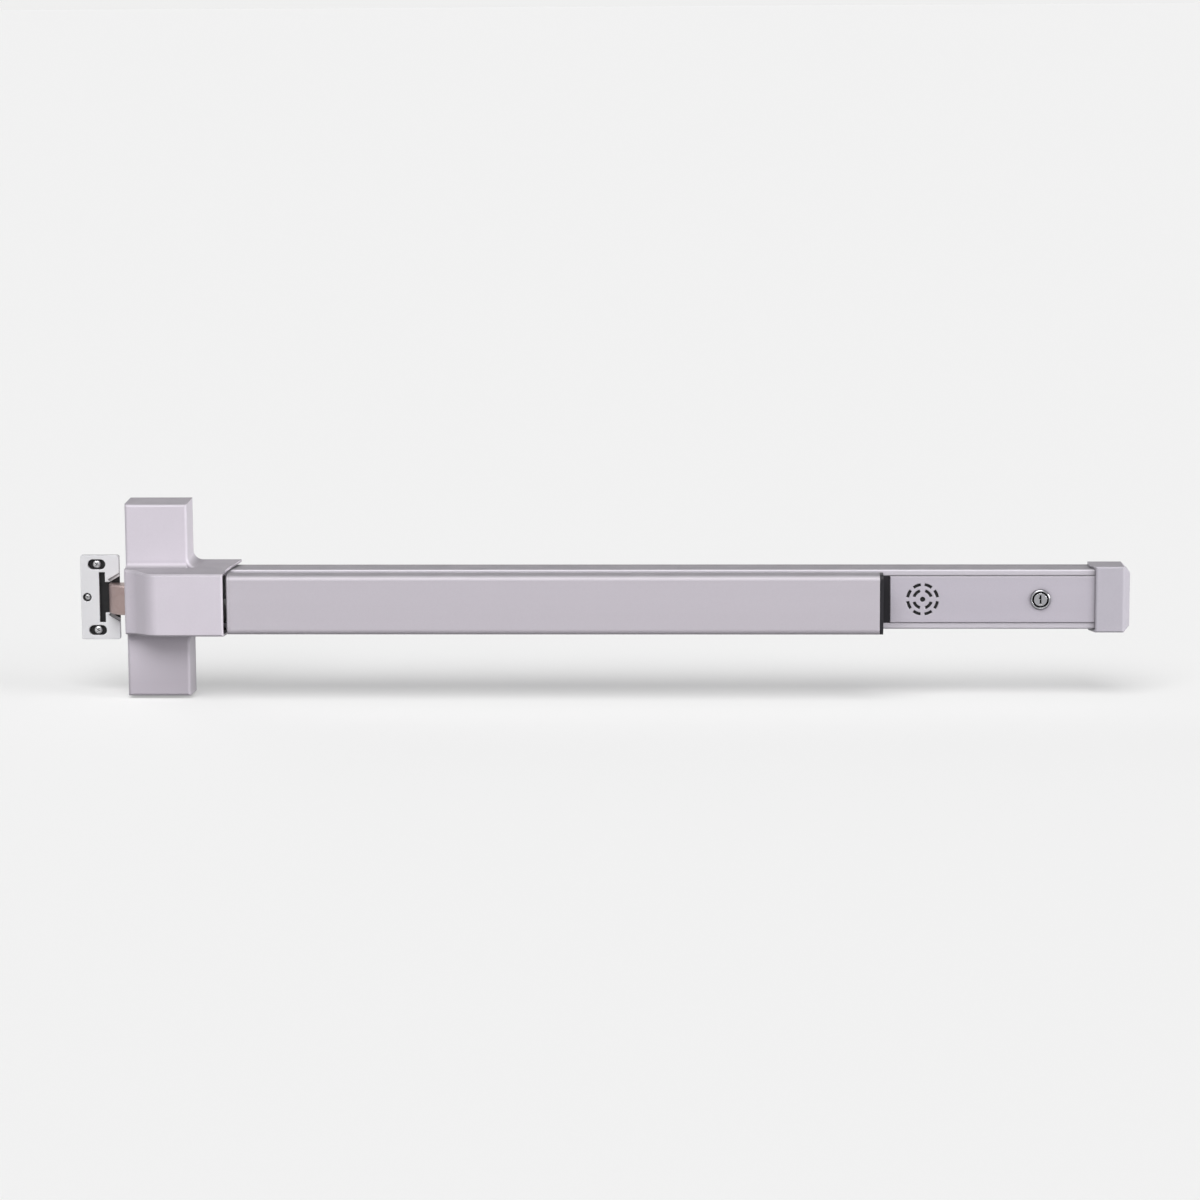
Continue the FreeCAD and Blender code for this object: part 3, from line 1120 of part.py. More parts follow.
def screw_head(x, z, radius, height):
    """A plain head on the wear plate. The shank in the frame is left out."""
    return cyl_y(x, z, radius, -STRIKE_BACKING - height, -STRIKE_BACKING)


def make_strike_screws():
    return Part.makeCompound([screw_head(x, z, STRIKE_HEAD_RADIUS, STRIKE_HEAD_HEIGHT)
                              for x, z in strike_screw_places()])


def make_strike_centre_screw():
    return screw_head(STRIKE_LEFT + STRIKE_CENTRE_FROM_LEFT, LATCH_Z, CENTRE_HEAD_RADIUS, CENTRE_HEAD_HEIGHT)


def save(name, shape):
    shape.exportStep("parts/" + name + ".step")


if __name__ == "__main__":
    os.makedirs("parts", exist_ok=True)
    save("head_cover", make_head_cover())
    save("head_cover_screw", make_head_cover_screw())
    save("head_chassis", make_chassis())
    save("latch_keeper", make_latch_keeper())
    save("latch_bolt", make_latch_bolt())
    save("latch_spring", make_latch_spring())
    save("rail", make_rail())
    save("rail_screws", make_rail_screws())
    save("push_bar", make_push_bar())
    save("push_bar_pins", make_bar_pins())
    save("push_bar_left_cap", make_left_bar_cap())
    save("push_bar_right_cap", make_right_bar_cap())
    save("crank_bracket_left", make_crank_bracket(CRANK_LEFT_X))
    save("crank_bracket_right", make_crank_bracket(CRANK_RIGHT_X))
    save("crank_pivot_pins", make_pivot_pins())
    save("bell_crank_left", make_crank(CRANK_LEFT_X))
    save("bell_crank_right", make_crank(CRANK_RIGHT_X))
    save("draw_rod", make_rod())
    save("spring_bracket", make_spring_bracket())
    save("return_spring", make_return_spring())
    save("stop_pads", make_stop_pads())
    save("rail_divider", make_rail_divider())
    save("alarm_cover", make_alarm_cover())
    save("sounder_mesh", make_sounder_mesh())
    save("sounder", make_sounder())
    save("circuit_board", make_circuit_board())
    save("board_components", make_board_chips())
    save("alarm_tray", make_alarm_tray())
    save("battery", make_battery())
    save("battery_clip", make_battery_clip())
    save("key_barrel", make_key_barrel())
    save("key_nut", make_key_nut())
    save("key_plug", make_key_plug())
    save("key_switch", make_key_switch())
    save("bar_magnet", make_magnet())
    save("reed_sensor", make_reed_sensor())
    save("end_bracket", make_end_bracket())
    save("end_cap", make_end_cap())
    save("end_cap_screw", make_end_cap_screw())
    save("strike_plate", make_strike_plate())
    save("strike_backing", make_strike_backing())
    save("strike_screws", make_strike_screws())
    save("strike_centre_screw", make_strike_centre_screw())
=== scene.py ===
import math
import bpy
from mathutils import Matrix, Vector


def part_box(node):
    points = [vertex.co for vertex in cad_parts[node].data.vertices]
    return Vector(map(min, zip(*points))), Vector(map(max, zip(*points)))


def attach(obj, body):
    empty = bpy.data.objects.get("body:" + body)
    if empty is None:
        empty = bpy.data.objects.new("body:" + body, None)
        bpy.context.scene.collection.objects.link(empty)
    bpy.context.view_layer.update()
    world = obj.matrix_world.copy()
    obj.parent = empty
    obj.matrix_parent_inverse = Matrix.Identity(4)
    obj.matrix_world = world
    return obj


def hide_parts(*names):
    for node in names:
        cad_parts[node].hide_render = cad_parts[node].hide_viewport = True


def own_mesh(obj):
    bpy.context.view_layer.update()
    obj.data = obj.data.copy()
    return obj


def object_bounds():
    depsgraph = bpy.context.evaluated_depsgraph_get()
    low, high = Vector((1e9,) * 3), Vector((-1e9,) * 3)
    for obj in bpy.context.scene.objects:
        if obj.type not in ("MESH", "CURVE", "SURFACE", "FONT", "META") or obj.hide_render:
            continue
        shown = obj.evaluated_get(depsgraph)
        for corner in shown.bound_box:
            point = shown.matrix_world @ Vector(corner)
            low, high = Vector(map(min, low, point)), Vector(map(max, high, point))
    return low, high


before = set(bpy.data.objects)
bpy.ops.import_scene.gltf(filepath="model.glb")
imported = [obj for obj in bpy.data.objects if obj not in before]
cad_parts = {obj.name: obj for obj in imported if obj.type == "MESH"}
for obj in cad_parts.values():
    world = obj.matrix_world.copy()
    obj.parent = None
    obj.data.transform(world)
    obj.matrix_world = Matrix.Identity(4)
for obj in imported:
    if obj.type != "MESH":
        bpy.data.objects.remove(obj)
cad_low, cad_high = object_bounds()


# ---------------------------------------------------------------- camera
# A long lens, three metres in front of the door, a little above the bar and to the
# right of its middle. Its sides are turned so that the bar lies level in the frame.
middle = (cad_low + cad_high) / 2
station = middle + Vector((0.1215, -3.03, 0.466))
camera = bpy.data.objects.new("camera", bpy.data.cameras.new("camera"))
camera.data.lens = 118
camera.data.sensor_width = 36
camera.data.clip_end = 500
sight = (middle - station).normalized()
upright = Vector((1, 0, 0)).cross(sight).normalized()
sideways = sight.cross(upright)
stance = Matrix((sideways, upright, -sight)).transposed().to_4x4()
camera.matrix_world = Matrix.Translation(station) @ stance
bpy.context.scene.collection.objects.link(camera)
bpy.context.scene.camera = camera
bpy.context.scene.view_settings.view_transform = "Standard"


# ---------------------------------------------------------------- room, floor and lamps
# A pale studio: a matt grey-white floor just under the head, a wide soft lamp above and
# in front, one from the right as from a window, a weak low one behind, and a dim grey
# room with one bright panel in front, which the satin edges pick up.
pale_backdrop = (0.868, 0.868, 0.863, 1)
low_wall, high_wall = (0.16, 0.16, 0.17, 1), (0.07, 0.07, 0.08, 1)
front_panel, panel_toward = (0.66, 0.65, 0.68, 1), Vector((-0.12, -0.88, 0.46))


def add_node(tree, kind, operation=None, **settings):
    """A shader node with some inputs set; an underscore in a label stands for a space."""
    node = tree.nodes.new("ShaderNode" + kind)
    if operation:
        node.operation = operation
    for label, value in settings.items():
        node.inputs[label.replace("_", " ")].default_value = value
    return node


def colour_mix(tree, mask, low, high):
    """The colour low where the mask is 0 and high where it is 1; each a value or a socket."""
    mix = tree.nodes.new("ShaderNodeMix")
    mix.data_type = "RGBA"
    tree.links.new(mask, mix.inputs["Factor"])
    for label, colour in (("A", low), ("B", high)):
        if isinstance(colour, tuple):
            mix.inputs[label].default_value = (*colour[:3], 1)
        else:
            tree.links.new(colour, mix.inputs[label])
    return mix.outputs["Result"]


def looked_at(tree):
    """1 where the eye, a reflection or glass looks at the surface, 0 where it only lights."""
    rays = tree.nodes.new("ShaderNodeLightPath")
    share = rays.outputs["Is Camera Ray"]
    for kind in ("Is Glossy Ray", "Is Transmission Ray"):
        either = add_node(tree, "Math", "MAXIMUM")
        tree.links.new(share, either.inputs[0])
        tree.links.new(rays.outputs[kind], either.inputs[1])
        share = either.outputs[0]
    return share


world = bpy.data.worlds.new("room")
world.use_nodes = True
bpy.context.scene.world = world
room = world.node_tree
room.nodes.clear()
place = add_node(room, "TexCoord")
height = add_node(room, "SeparateXYZ")
ceiling = add_node(room, "MapRange", From_Min=0.0, From_Max=0.7)
ahead = add_node(room, "VectorMath", "DOT_PRODUCT")
ahead.inputs[1].default_value = panel_toward.normalized()
panel = add_node(room, "MapRange", From_Min=0.80, From_Max=0.95)
panel.interpolation_type = "SMOOTHSTEP"
glow = add_node(room, "Background")
end = add_node(room, "OutputWorld")
room.links.new(place.outputs["Generated"], height.inputs[0])
room.links.new(height.outputs["Z"], ceiling.inputs["Value"])
room.links.new(place.outputs["Generated"], ahead.inputs[0])
room.links.new(ahead.outputs["Value"], panel.inputs["Value"])
walls = colour_mix(room, ceiling.outputs["Result"], low_wall, high_wall)
lit = colour_mix(room, panel.outputs["Result"], walls, front_panel)
shown = colour_mix(room, looked_at(room), lit, pale_backdrop)
room.links.new(shown, glow.inputs["Color"])
room.links.new(glow.outputs["Background"], end.inputs["Surface"])

reach, under = 200.0, cad_low.z - 0.0008
floor_mesh = bpy.data.meshes.new("floor")
floor_mesh.from_pydata([(-reach, -reach, under), (reach, -reach, under),
                        (reach, reach, under), (-reach, reach, under)], [], [(0, 1, 2, 3)])
floor = bpy.data.objects.new("floor", floor_mesh)
bpy.context.scene.collection.objects.link(floor)
floor_coat = bpy.data.materials.new("floor_paint")
floor_coat.use_nodes = True
tree = floor_coat.node_tree
matt = tree.nodes["Principled BSDF"]
matt.inputs["Roughness"].default_value = 0.9
matt.inputs["Specular IOR Level"].default_value = 0.0
matt.inputs["Emission Color"].default_value = pale_backdrop
path = tree.nodes.new("ShaderNodeLightPath")
bounce_free = colour_mix(tree, path.outputs["Is Diffuse Ray"],
                         (0.53, 0.53, 0.525), (0.16, 0.16, 0.16))
lift = add_node(tree, "Math", "MULTIPLY")
lift.inputs[1].default_value = 0.42
tree.links.new(bounce_free, matt.inputs["Base Color"])
tree.links.new(looked_at(tree), lift.inputs[0])
tree.links.new(lift.outputs[0], matt.inputs["Emission Strength"])
floor.data.materials.append(floor_coat)

for name, shines_toward, power, spread in (("lamp_above", (0.11, 0.615, -0.78), 2.62, 50),
                                           ("lamp_right", (-0.92, 0.36, -0.14), 2.75, 34),
                                           ("lamp_behind", (0.60, -0.79, -0.10), 1.20, 40)):
    lamp = bpy.data.lights.new(name, "SUN")
    lamp.energy = power
    lamp.angle = math.radians(spread)
    holder = bpy.data.objects.new(name, lamp)
    holder.rotation_mode = "QUATERNION"
    holder.rotation_quaternion = Vector(shines_toward).to_track_quat("-Z", "Y")
    bpy.context.scene.collection.objects.link(holder)


# ---------------------------------------------------------------- head cover
# The T-shaped cover over the latch: one zinc die casting in satin silver powder coat,
# with a fine orange peel, a painted highlight along its edges, painted shade with some dust
# on its tops, painted shade in its corners and under the band. It hooks over the chassis and one
# screw holds it.
def shader_group(name, takes, gives):
    """An empty shader group with its named sockets."""
    group = bpy.data.node_groups.new(name, "ShaderNodeTree")
    for label, start in takes:
        socket = group.interface.new_socket(label, in_out="INPUT", socket_type="NodeSocketFloat")
        socket.default_value = start
    for label, kind in gives:
        group.interface.new_socket(label, in_out="OUTPUT", socket_type="NodeSocket" + kind)
    return group, group.nodes.new("NodeGroupInput"), group.nodes.new("NodeGroupOutput")


def reckoned(tree, kind, first, second=0.0, clamp=False):
    """The result of a Math node whose values are sockets or numbers."""
    node = add_node(tree, "Math", kind)
    node.use_clamp = clamp
    for socket, value in zip(node.inputs, (first, second)):
        if isinstance(value, (int, float)):
            socket.default_value = value
        else:
            tree.links.new(value, socket)
    return node.outputs[0]


# soft_edges: the small round that every real edge has, and a mask of where it is
soft_edges, given, result = shader_group("soft_edges", [("Radius", 0.0006)],
                                         [("Normal", "Vector"), ("Edge", "Float")])
rounding = add_node(soft_edges, "Bevel")
rounding.samples = 6
facing = add_node(soft_edges, "NewGeometry")
agree = add_node(soft_edges, "VectorMath", "DOT_PRODUCT")
soft_edges.links.new(given.outputs["Radius"], rounding.inputs["Radius"])
soft_edges.links.new(rounding.outputs["Normal"], agree.inputs[0])
soft_edges.links.new(facing.outputs["Normal"], agree.inputs[1])
bend = reckoned(soft_edges, "SUBTRACT", 1.0, agree.outputs["Value"])
sharpness = 5.0
edge = reckoned(soft_edges, "MULTIPLY", bend, sharpness, clamp=True)
soft_edges.links.new(rounding.outputs["Normal"], result.inputs["Normal"])
soft_edges.links.new(edge, result.inputs["Edge"])

# peel: the ripple of baked powder, its flake sparkle and the broad drift in its thickness
peel, given, result = shader_group("peel", [("Ripple", 900.0)],
                                   [("Height", "Float"), ("Flake", "Float"), ("Drift", "Float")])
spot = add_node(peel, "TexCoord")
ripple = add_node(peel, "TexNoise", Detail=2.5)
flake = add_node(peel, "TexVoronoi", Scale=5200)
drift = add_node(peel, "TexNoise", Scale=26, Detail=4)
speck = add_node(peel, "SeparateColor")
for pattern in (ripple, flake, drift):
    peel.links.new(spot.outputs["Object"], pattern.inputs["Vector"])
peel.links.new(given.outputs["Ripple"], ripple.inputs["Scale"])
peel.links.new(flake.outputs["Color"], speck.inputs["Color"])
peel.links.new(ripple.outputs["Fac"], result.inputs["Height"])
peel.links.new(speck.outputs["Red"], result.inputs["Flake"])
peel.links.new(drift.outputs["Fac"], result.inputs["Drift"])

# recess: painted shade in inner corners and close gaps, darkened where ambient occlusion finds them
recess, given, result = shader_group("recess", [("Reach", 0.006), ("Closed", 0.60)],
                                     [("Mask", "Float")])
hollow = add_node(recess, "AmbientOcclusion")
hollow.samples = 8
shut = add_node(recess, "MapRange", From_Min=0.96)
recess.links.new(given.outputs["Reach"], hollow.inputs["Distance"])
recess.links.new(given.outputs["Closed"], shut.inputs["From Max"])
recess.links.new(hollow.outputs["AO"], shut.inputs["Value"])
recess.links.new(shut.outputs["Result"], result.inputs["Mask"])

# painted shade, with a little uneven dust, on faces and coves that look up: the more they face up,
# the darker
top_shade_and_dust, given, result = shader_group("top_shade_and_dust", [("Amount", 0.8), ("Start", 0.3)],
                                       [("Mask", "Float")])
facing = add_node(top_shade_and_dust, "NewGeometry")
rise = add_node(top_shade_and_dust, "SeparateXYZ")
lying = add_node(top_shade_and_dust, "MapRange", From_Max=0.94)
spot = add_node(top_shade_and_dust, "TexCoord")
patch = add_node(top_shade_and_dust, "TexNoise", Scale=38, Detail=5)
uneven = add_node(top_shade_and_dust, "MapRange", From_Min=0.3, From_Max=0.7, To_Min=0.90, To_Max=1.03)
top_shade_and_dust.links.new(facing.outputs["Normal"], rise.inputs[0])
top_shade_and_dust.links.new(rise.outputs["Z"], lying.inputs["Value"])
top_shade_and_dust.links.new(given.outputs["Start"], lying.inputs["From Min"])
top_shade_and_dust.links.new(spot.outputs["Object"], patch.inputs["Vector"])
top_shade_and_dust.links.new(patch.outputs["Fac"], uneven.inputs["Value"])
laid = reckoned(top_shade_and_dust, "MULTIPLY", lying.outputs["Result"], uneven.outputs["Result"])
overlay = reckoned(top_shade_and_dust, "MULTIPLY", laid, given.outputs["Amount"], clamp=True)
top_shade_and_dust.links.new(overlay, result.inputs["Mask"])


def use_group(tree, group, **values):
    """Places a shader group in a material, with that material's own values."""
    node = add_node(tree, "Group")
    node.node_tree = group
    for label, value in values.items():
        node.inputs[label].default_value = value
    return node


def blank_material(name, roughness, metallic=0.0):
    """A new material, its node tree and its Principled shader."""
    material = bpy.data.materials.new(name)
    material.use_nodes = True
    shader = material.node_tree.nodes["Principled BSDF"]
    shader.inputs["Roughness"].default_value = roughness
    shader.inputs["Metallic"].default_value = metallic
    return material, material.node_tree, shader


def spread_over(tree, mask, low, high):
    """A value that runs from low to high as the mask runs from 0 to 1."""
    ramp = add_node(tree, "MapRange", To_Min=low, To_Max=high)
    tree.links.new(mask, ramp.inputs["Value"])
    return ramp.outputs["Result"]


def part_mix(tree, mask, share, low, high):
    """A colour mix that goes only this share of the way where the mask is 1."""
    return colour_mix(tree, spread_over(tree, mask, 0.0, share), low, high)


def relief(tree, shader, pattern, normal, depth):
    """Presses a height pattern into the surface, over its softened edges."""
    bump = add_node(tree, "Bump", Distance=depth)
    tree.links.new(pattern, bump.inputs["Height"])
    tree.links.new(normal, bump.inputs["Normal"])
    tree.links.new(bump.outputs["Normal"], shader.inputs["Normal"])


def tinted(colour, share):
    """A colour made darker or lighter by a share."""
    return tuple(min(1.0, share * c) for c in colour)


def sparkle_and_edge_highlight(tree, body, coat, edges, edge_highlight_colour, sparkle, edge_highlight):
    """The flake's sparkle in a coat, and a painted highlight along its edges that also stands for
    handling wear.
    """
    lively = part_mix(tree, coat.outputs["Flake"], sparkle, body, edge_highlight_colour)
    return part_mix(tree, edges.outputs["Edge"], edge_highlight, lively, edge_highlight_colour)


def shaded_in_corners(tree, before_top_shade, corner_shade_colour, closed=0.60):
    """A coat with painted shade in inner corners and close gaps."""
    corner = use_group(tree, recess, Reach=0.006, Closed=closed)
    return part_mix(tree, corner.outputs["Mask"], 0.9, before_top_shade, corner_shade_colour)


def shade_tops_and_dust(tree, shader, before_top_shade, coat, dust, amount, start, sheen):
    """Lays painted shade, with some dust, over a coat's upward faces, which are chalky there and
    satin elsewhere.
    """
    overlay = use_group(tree, top_shade_and_dust, Amount=amount, Start=start)
    tree.links.new(colour_mix(tree, overlay.outputs["Mask"], before_top_shade, dust), shader.inputs["Base Color"])
    satin = spread_over(tree, coat.outputs["Drift"], *sheen)
    chalky = spread_over(tree, overlay.outputs["Mask"], 0.0, 0.3)
    tree.links.new(reckoned(tree, "ADD", satin, chalky), shader.inputs["Roughness"])


def cast_coat(name, colour, edge_highlight_colour, shade_and_dust_from=0.3, painted_shade_below=None):
    """Silver powder coat on a die casting, with a painted highlight along its edges, painted shade
    in its corners, painted shade with some dust on its tops, and, where given, painted shade
    darkening it downward under a deeper part.
    """
    material, tree, shader = blank_material(name, 0.44, 0.06)
    edges = use_group(tree, soft_edges, Radius=0.0009)
    coat = use_group(tree, peel, Ripple=760.0)
    body = part_mix(tree, coat.outputs["Drift"], 1.0, tinted(colour, 0.93), tinted(colour, 1.05))
    edge_lightened = sparkle_and_edge_highlight(tree, body, coat, edges, edge_highlight_colour, sparkle=0.22, edge_highlight=0.12)
    before_top_shade = shaded_in_corners(tree, edge_lightened, tinted(colour, 0.36))
    # painted shade: the colour darkens downward between the two heights, as in the band's shadow
    if painted_shade_below:
        share, top, foot = painted_shade_below
        spot = add_node(tree, "TexCoord")
        split = add_node(tree, "SeparateXYZ")
        below = add_node(tree, "MapRange", From_Min=top, From_Max=foot)
        tree.links.new(spot.outputs["Object"], split.inputs[0])
        tree.links.new(split.outputs["Z"], below.inputs["Value"])
        before_top_shade = colour_mix(tree, below.outputs["Result"], before_top_shade, tinted(colour, 1 - share))
    shade_tops_and_dust(tree, shader, before_top_shade, coat, dust=(0.19, 0.181, 0.192), amount=0.80,
                start=shade_and_dust_from, sheen=(0.38, 0.50))
    relief(tree, shader, coat.outputs["Height"], edges.outputs["Normal"], 0.00004)
    return material


def dress(material, *names):
    """Gives CAD nodes their finish through their material slots."""
    for name in names:
        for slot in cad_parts[name].material_slots:
            slot.material = material


# painted shade under the band: the head darkens downward from just under the rail to a little above
# the head's foot
band_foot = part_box("rail")[0].z - 0.0065
near_head_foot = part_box("head_cover")[0].z + 0.011
head_coat = cast_coat("silver_coat_head", (0.618, 0.57, 0.634), (0.86, 0.84, 0.88),
                      painted_shade_below=(0.24, band_foot, near_head_foot))
dress(head_coat, "head_cover")


# ---------------------------------------------------------------- chassis, keeper and brackets
# Pressed steel plates behind the covers: the latch chassis with its keeper, the crank
# and spring brackets and the plate under the end cap. All are bright zinc plated, with
# the faint rolled grain of the sheet and a cloudy passivation.
zinc_bloom, given, result = shader_group("zinc_bloom", [("Grain", 1.0)],
                                         [("Cloud", "Float"), ("Grain", "Float")])
spot = add_node(zinc_bloom, "TexCoord")
stretch = add_node(zinc_bloom, "Mapping", Scale=(40, 1500, 1500))
lines = add_node(zinc_bloom, "TexNoise", Scale=1, Detail=3)
cloud = add_node(zinc_bloom, "TexNoise", Scale=130, Detail=5, Distortion=0.6)
zinc_bloom.links.new(spot.outputs["Object"], stretch.inputs["Vector"])
zinc_bloom.links.new(stretch.outputs["Vector"], lines.inputs["Vector"])
zinc_bloom.links.new(spot.outputs["Object"], cloud.inputs["Vector"])
zinc_bloom.links.new(cloud.outputs["Fac"], result.inputs["Cloud"])
grain = reckoned(zinc_bloom, "MULTIPLY", lines.outputs["Fac"], given.outputs["Grain"])
zinc_bloom.links.new(grain, result.inputs["Grain"])


def bright_metal(name, dark, light, edge_highlight_colour, rough, grain=1.0, depth=0.00001,
                 edge=0.0004, corner=None):
    """Plain or plated metal with a grain, a cloudy bloom, a painted highlight with wear along its
    edges, and, where a corner reach is given, painted shade in its grooves.
    """
    material, tree, shader = blank_material(name, rough, 1.0)
    edges = use_group(tree, soft_edges, Radius=edge)
    bloom = use_group(tree, zinc_bloom, Grain=grain)
    body = colour_mix(tree, bloom.outputs["Cloud"], dark, light)
    edge_lightened = part_mix(tree, edges.outputs["Edge"], 0.8, body, edge_highlight_colour)
    # painted shade: nearly black in grooves within the corner reach
    if corner:
        groove = use_group(tree, recess, Reach=corner)
        edge_lightened = colour_mix(tree, groove.outputs["Mask"], edge_lightened, tinted(dark, 0.06))
    tree.links.new(edge_lightened, shader.inputs["Base Color"])
    tree.links.new(spread_over(tree, bloom.outputs["Cloud"], rough - 0.08, rough + 0.10),
                   shader.inputs["Roughness"])
    relief(tree, shader, bloom.outputs["Grain"], edges.outputs["Normal"], depth)
    return material


zinc = bright_metal("zinc_plate", (0.56, 0.57, 0.56), (0.72, 0.73, 0.74), (0.84, 0.85, 0.86), 0.36)
dress(zinc, "head_chassis", "latch_keeper", "crank_bracket_left", "crank_bracket_right",
      "spring_bracket", "end_bracket", "bell_crank_left", "bell_crank_right", "draw_rod")


# ---------------------------------------------------------------- latch bolt and the springs
# A sintered steel bolt with a rounded nose, left satin and slightly warm, with a painted
# highlight and wear along its edges. The coil behind it, and the longer one that returns
# the draw rod, are of hard drawn round wire.
latch_steel = bright_metal("latch_steel", (0.32, 0.237, 0.224), (0.445, 0.35, 0.337),
                           (0.74, 0.68, 0.66), 0.40, grain=1.6, depth=0.00002, edge=0.0008)
dress(latch_steel, "latch_bolt")
wire_steel = bright_metal("spring_wire", (0.26, 0.26, 0.27), (0.44, 0.44, 0.45),
                          (0.60, 0.60, 0.60), 0.34)


def coil_spring(name, node, turns, wire):
    """A round-wire compression spring in the room of its CAD coil."""
    low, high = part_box(node)
    centre, length = (low + high) / 2, high.x - low.x
    radius = (high.z - low.z) / 2 - wire
    line = bpy.data.curves.new(name, "CURVE")
    line.dimensions = "3D"
    line.bevel_depth = wire
    line.bevel_resolution = 4
    steps_per_turn, closing = 16, 0.55
    steps = steps_per_turn * turns
    spline = line.splines.new("NURBS")
    spline.points.add(steps)
    for i, point in enumerate(spline.points):
        share = i / steps
        eased = share - closing / turns * math.sin(2 * math.pi * share) / 2
        around = 2 * math.pi * turns * share
        point.co = (low.x + wire + (length - 2 * wire) * eased,
                    centre.y + radius * math.cos(around),
                    centre.z + radius * math.sin(around), 1)
    spline.order_u = 4
    spline.use_endpoint_u = True
    line.use_fill_caps = True
    shape = bpy.data.objects.new(name + "_line", line)
    bpy.context.scene.collection.objects.link(shape)
    bpy.context.view_layer.update()
    mesh = bpy.data.meshes.new_from_object(
        shape.evaluated_get(bpy.context.evaluated_depsgraph_get()))
    bpy.data.objects.remove(shape)
    spring = bpy.data.objects.new(name, mesh)
    mesh.materials.clear()
    mesh.materials.append(wire_steel)
    for face in mesh.polygons:
        face.use_smooth = True
    bpy.context.scene.collection.objects.link(spring)
    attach(spring, "chassis")
    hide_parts(node)
    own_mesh(spring)


coil_spring("latch_coil", "latch_spring", 6, 0.0005)
coil_spring("return_coil", "return_spring", 9, 0.0006)


# ---------------------------------------------------------------- rail
# The channel screwed along the door: an aluminium extrusion, powder coated silver, with
# fine grooves along its sides. The die leaves straight, barely visible lines all along it.
die_lines, given, result = shader_group("die_lines", [("Fineness", 900.0)],
                                        [("Line", "Float"), ("Broad", "Float")])
spot = add_node(die_lines, "TexCoord")
across = add_node(die_lines, "SeparateXYZ")
along = add_node(die_lines, "CombineXYZ")
line = add_node(die_lines, "TexNoise", Scale=1, Detail=3)
broad = add_node(die_lines, "TexNoise", Scale=0.09, Detail=2)
die_lines.links.new(spot.outputs["Object"], across.inputs[0])
drawn_out = 9.0
slow = reckoned(die_lines, "MULTIPLY", across.outputs["X"], drawn_out)
die_lines.links.new(slow, along.inputs["X"])
for side in ("Y", "Z"):
    fine = reckoned(die_lines, "MULTIPLY", across.outputs[side], given.outputs["Fineness"])
    die_lines.links.new(fine, along.inputs[side])
for pattern, label in ((line, "Line"), (broad, "Broad")):
    die_lines.links.new(along.outputs["Vector"], pattern.inputs["Vector"])
    die_lines.links.new(pattern.outputs["Fac"], result.inputs[label])


def extruded_coat(name, colour, edge_highlight_colour, edge, fineness=900.0, shade_and_dust_from=0.3, closed=0.60):
    """Silver powder coat over an extrusion's die lines, with a painted highlight along its edges,
    painted shade in its corners and painted shade with some dust on its tops.
    """
    material, tree, shader = blank_material(name, 0.40, 0.10)
    edges = use_group(tree, soft_edges, Radius=edge)
    die = use_group(tree, die_lines, Fineness=fineness)
    coat = use_group(tree, peel, Ripple=1100.0)
    light = tinted(colour, 1.05)
    body = colour_mix(tree, die.outputs["Broad"], tinted(colour, 0.94), light)
    lined = part_mix(tree, die.outputs["Line"], 0.25, body, light)
    edge_lightened = sparkle_and_edge_highlight(tree, lined, coat, edges, edge_highlight_colour, sparkle=0.18, edge_highlight=0.16)
    before_top_shade = shaded_in_corners(tree, edge_lightened, tinted(colour, 0.40), closed)
    shade_tops_and_dust(tree, shader, before_top_shade, coat, dust=(0.17, 0.162, 0.172), amount=0.85,
                start=shade_and_dust_from, sheen=(0.34, 0.46))
    line_height = 1.4
    lines = reckoned(tree, "MULTIPLY", die.outputs["Line"], line_height)
    tall = reckoned(tree, "ADD", lines, coat.outputs["Height"])
    relief(tree, shader, tall, edges.outputs["Normal"], 0.000018)
    return material


rail_coat = extruded_coat("silver_coat_rail", (0.555, 0.525, 0.575), (0.80, 0.78, 0.82),
                          edge=0.0013, shade_and_dust_from=0.5)
dress(rail_coat, "rail")


# ---------------------------------------------------------------- push bar
# The long bar that is leaned on: a wider extrusion of the same make, coated a shade
# deeper. Its left end cap is coated with it, the right one is moulded black, and cross
# pins join it to the cranks. Rubber pads on the rail's floor stop it.
bar_coat = extruded_coat("silver_coat_bar", (0.49, 0.455, 0.50), (0.82, 0.80, 0.84),
                         edge=0.0008, fineness=700.0)
dress(bar_coat, "push_bar", "push_bar_left_cap")
pin_steel = bright_metal("ground_pin", (0.50, 0.50, 0.51), (0.62, 0.62, 0.63),
                         (0.78, 0.78, 0.78), 0.22)
dress(pin_steel, "push_bar_pins", "crank_pivot_pins")

# grit: the fine stipple that a sparked mould leaves on plastic
grit, given, result = shader_group("grit", [("Size", 1500.0)],
                                   [("Height", "Float"), ("Dust", "Float")])
spot = add_node(grit, "TexCoord")
stipple = add_node(grit, "TexNoise", Detail=2)
dust = add_node(grit, "TexNoise", Scale=60, Detail=6)
grit.links.new(given.outputs["Size"], stipple.inputs["Scale"])
for pattern, label in ((stipple, "Height"), (dust, "Dust")):
    grit.links.new(spot.outputs["Object"], pattern.inputs["Vector"])
    grit.links.new(pattern.outputs["Fac"], result.inputs[label])


def moulded(name, colour, dusty, rough, size=1500.0):
    """Moulded plastic or rubber with a stippled skin and a little dust."""
    material, tree, shader = blank_material(name, rough)
    edges = use_group(tree, soft_edges, Radius=0.0004)
    skin = use_group(tree, grit, Size=size)
    overlay = part_mix(tree, skin.outputs["Dust"], 0.5, colour, dusty)
    edge_lightened = part_mix(tree, edges.outputs["Edge"], 0.6, overlay, dusty)
    tree.links.new(edge_lightened, shader.inputs["Base Color"])
    tree.links.new(spread_over(tree, skin.outputs["Dust"], rough - 0.08, rough + 0.12),
                   shader.inputs["Roughness"])
    relief(tree, shader, skin.outputs["Height"], edges.outputs["Normal"], 0.00004)
    return material


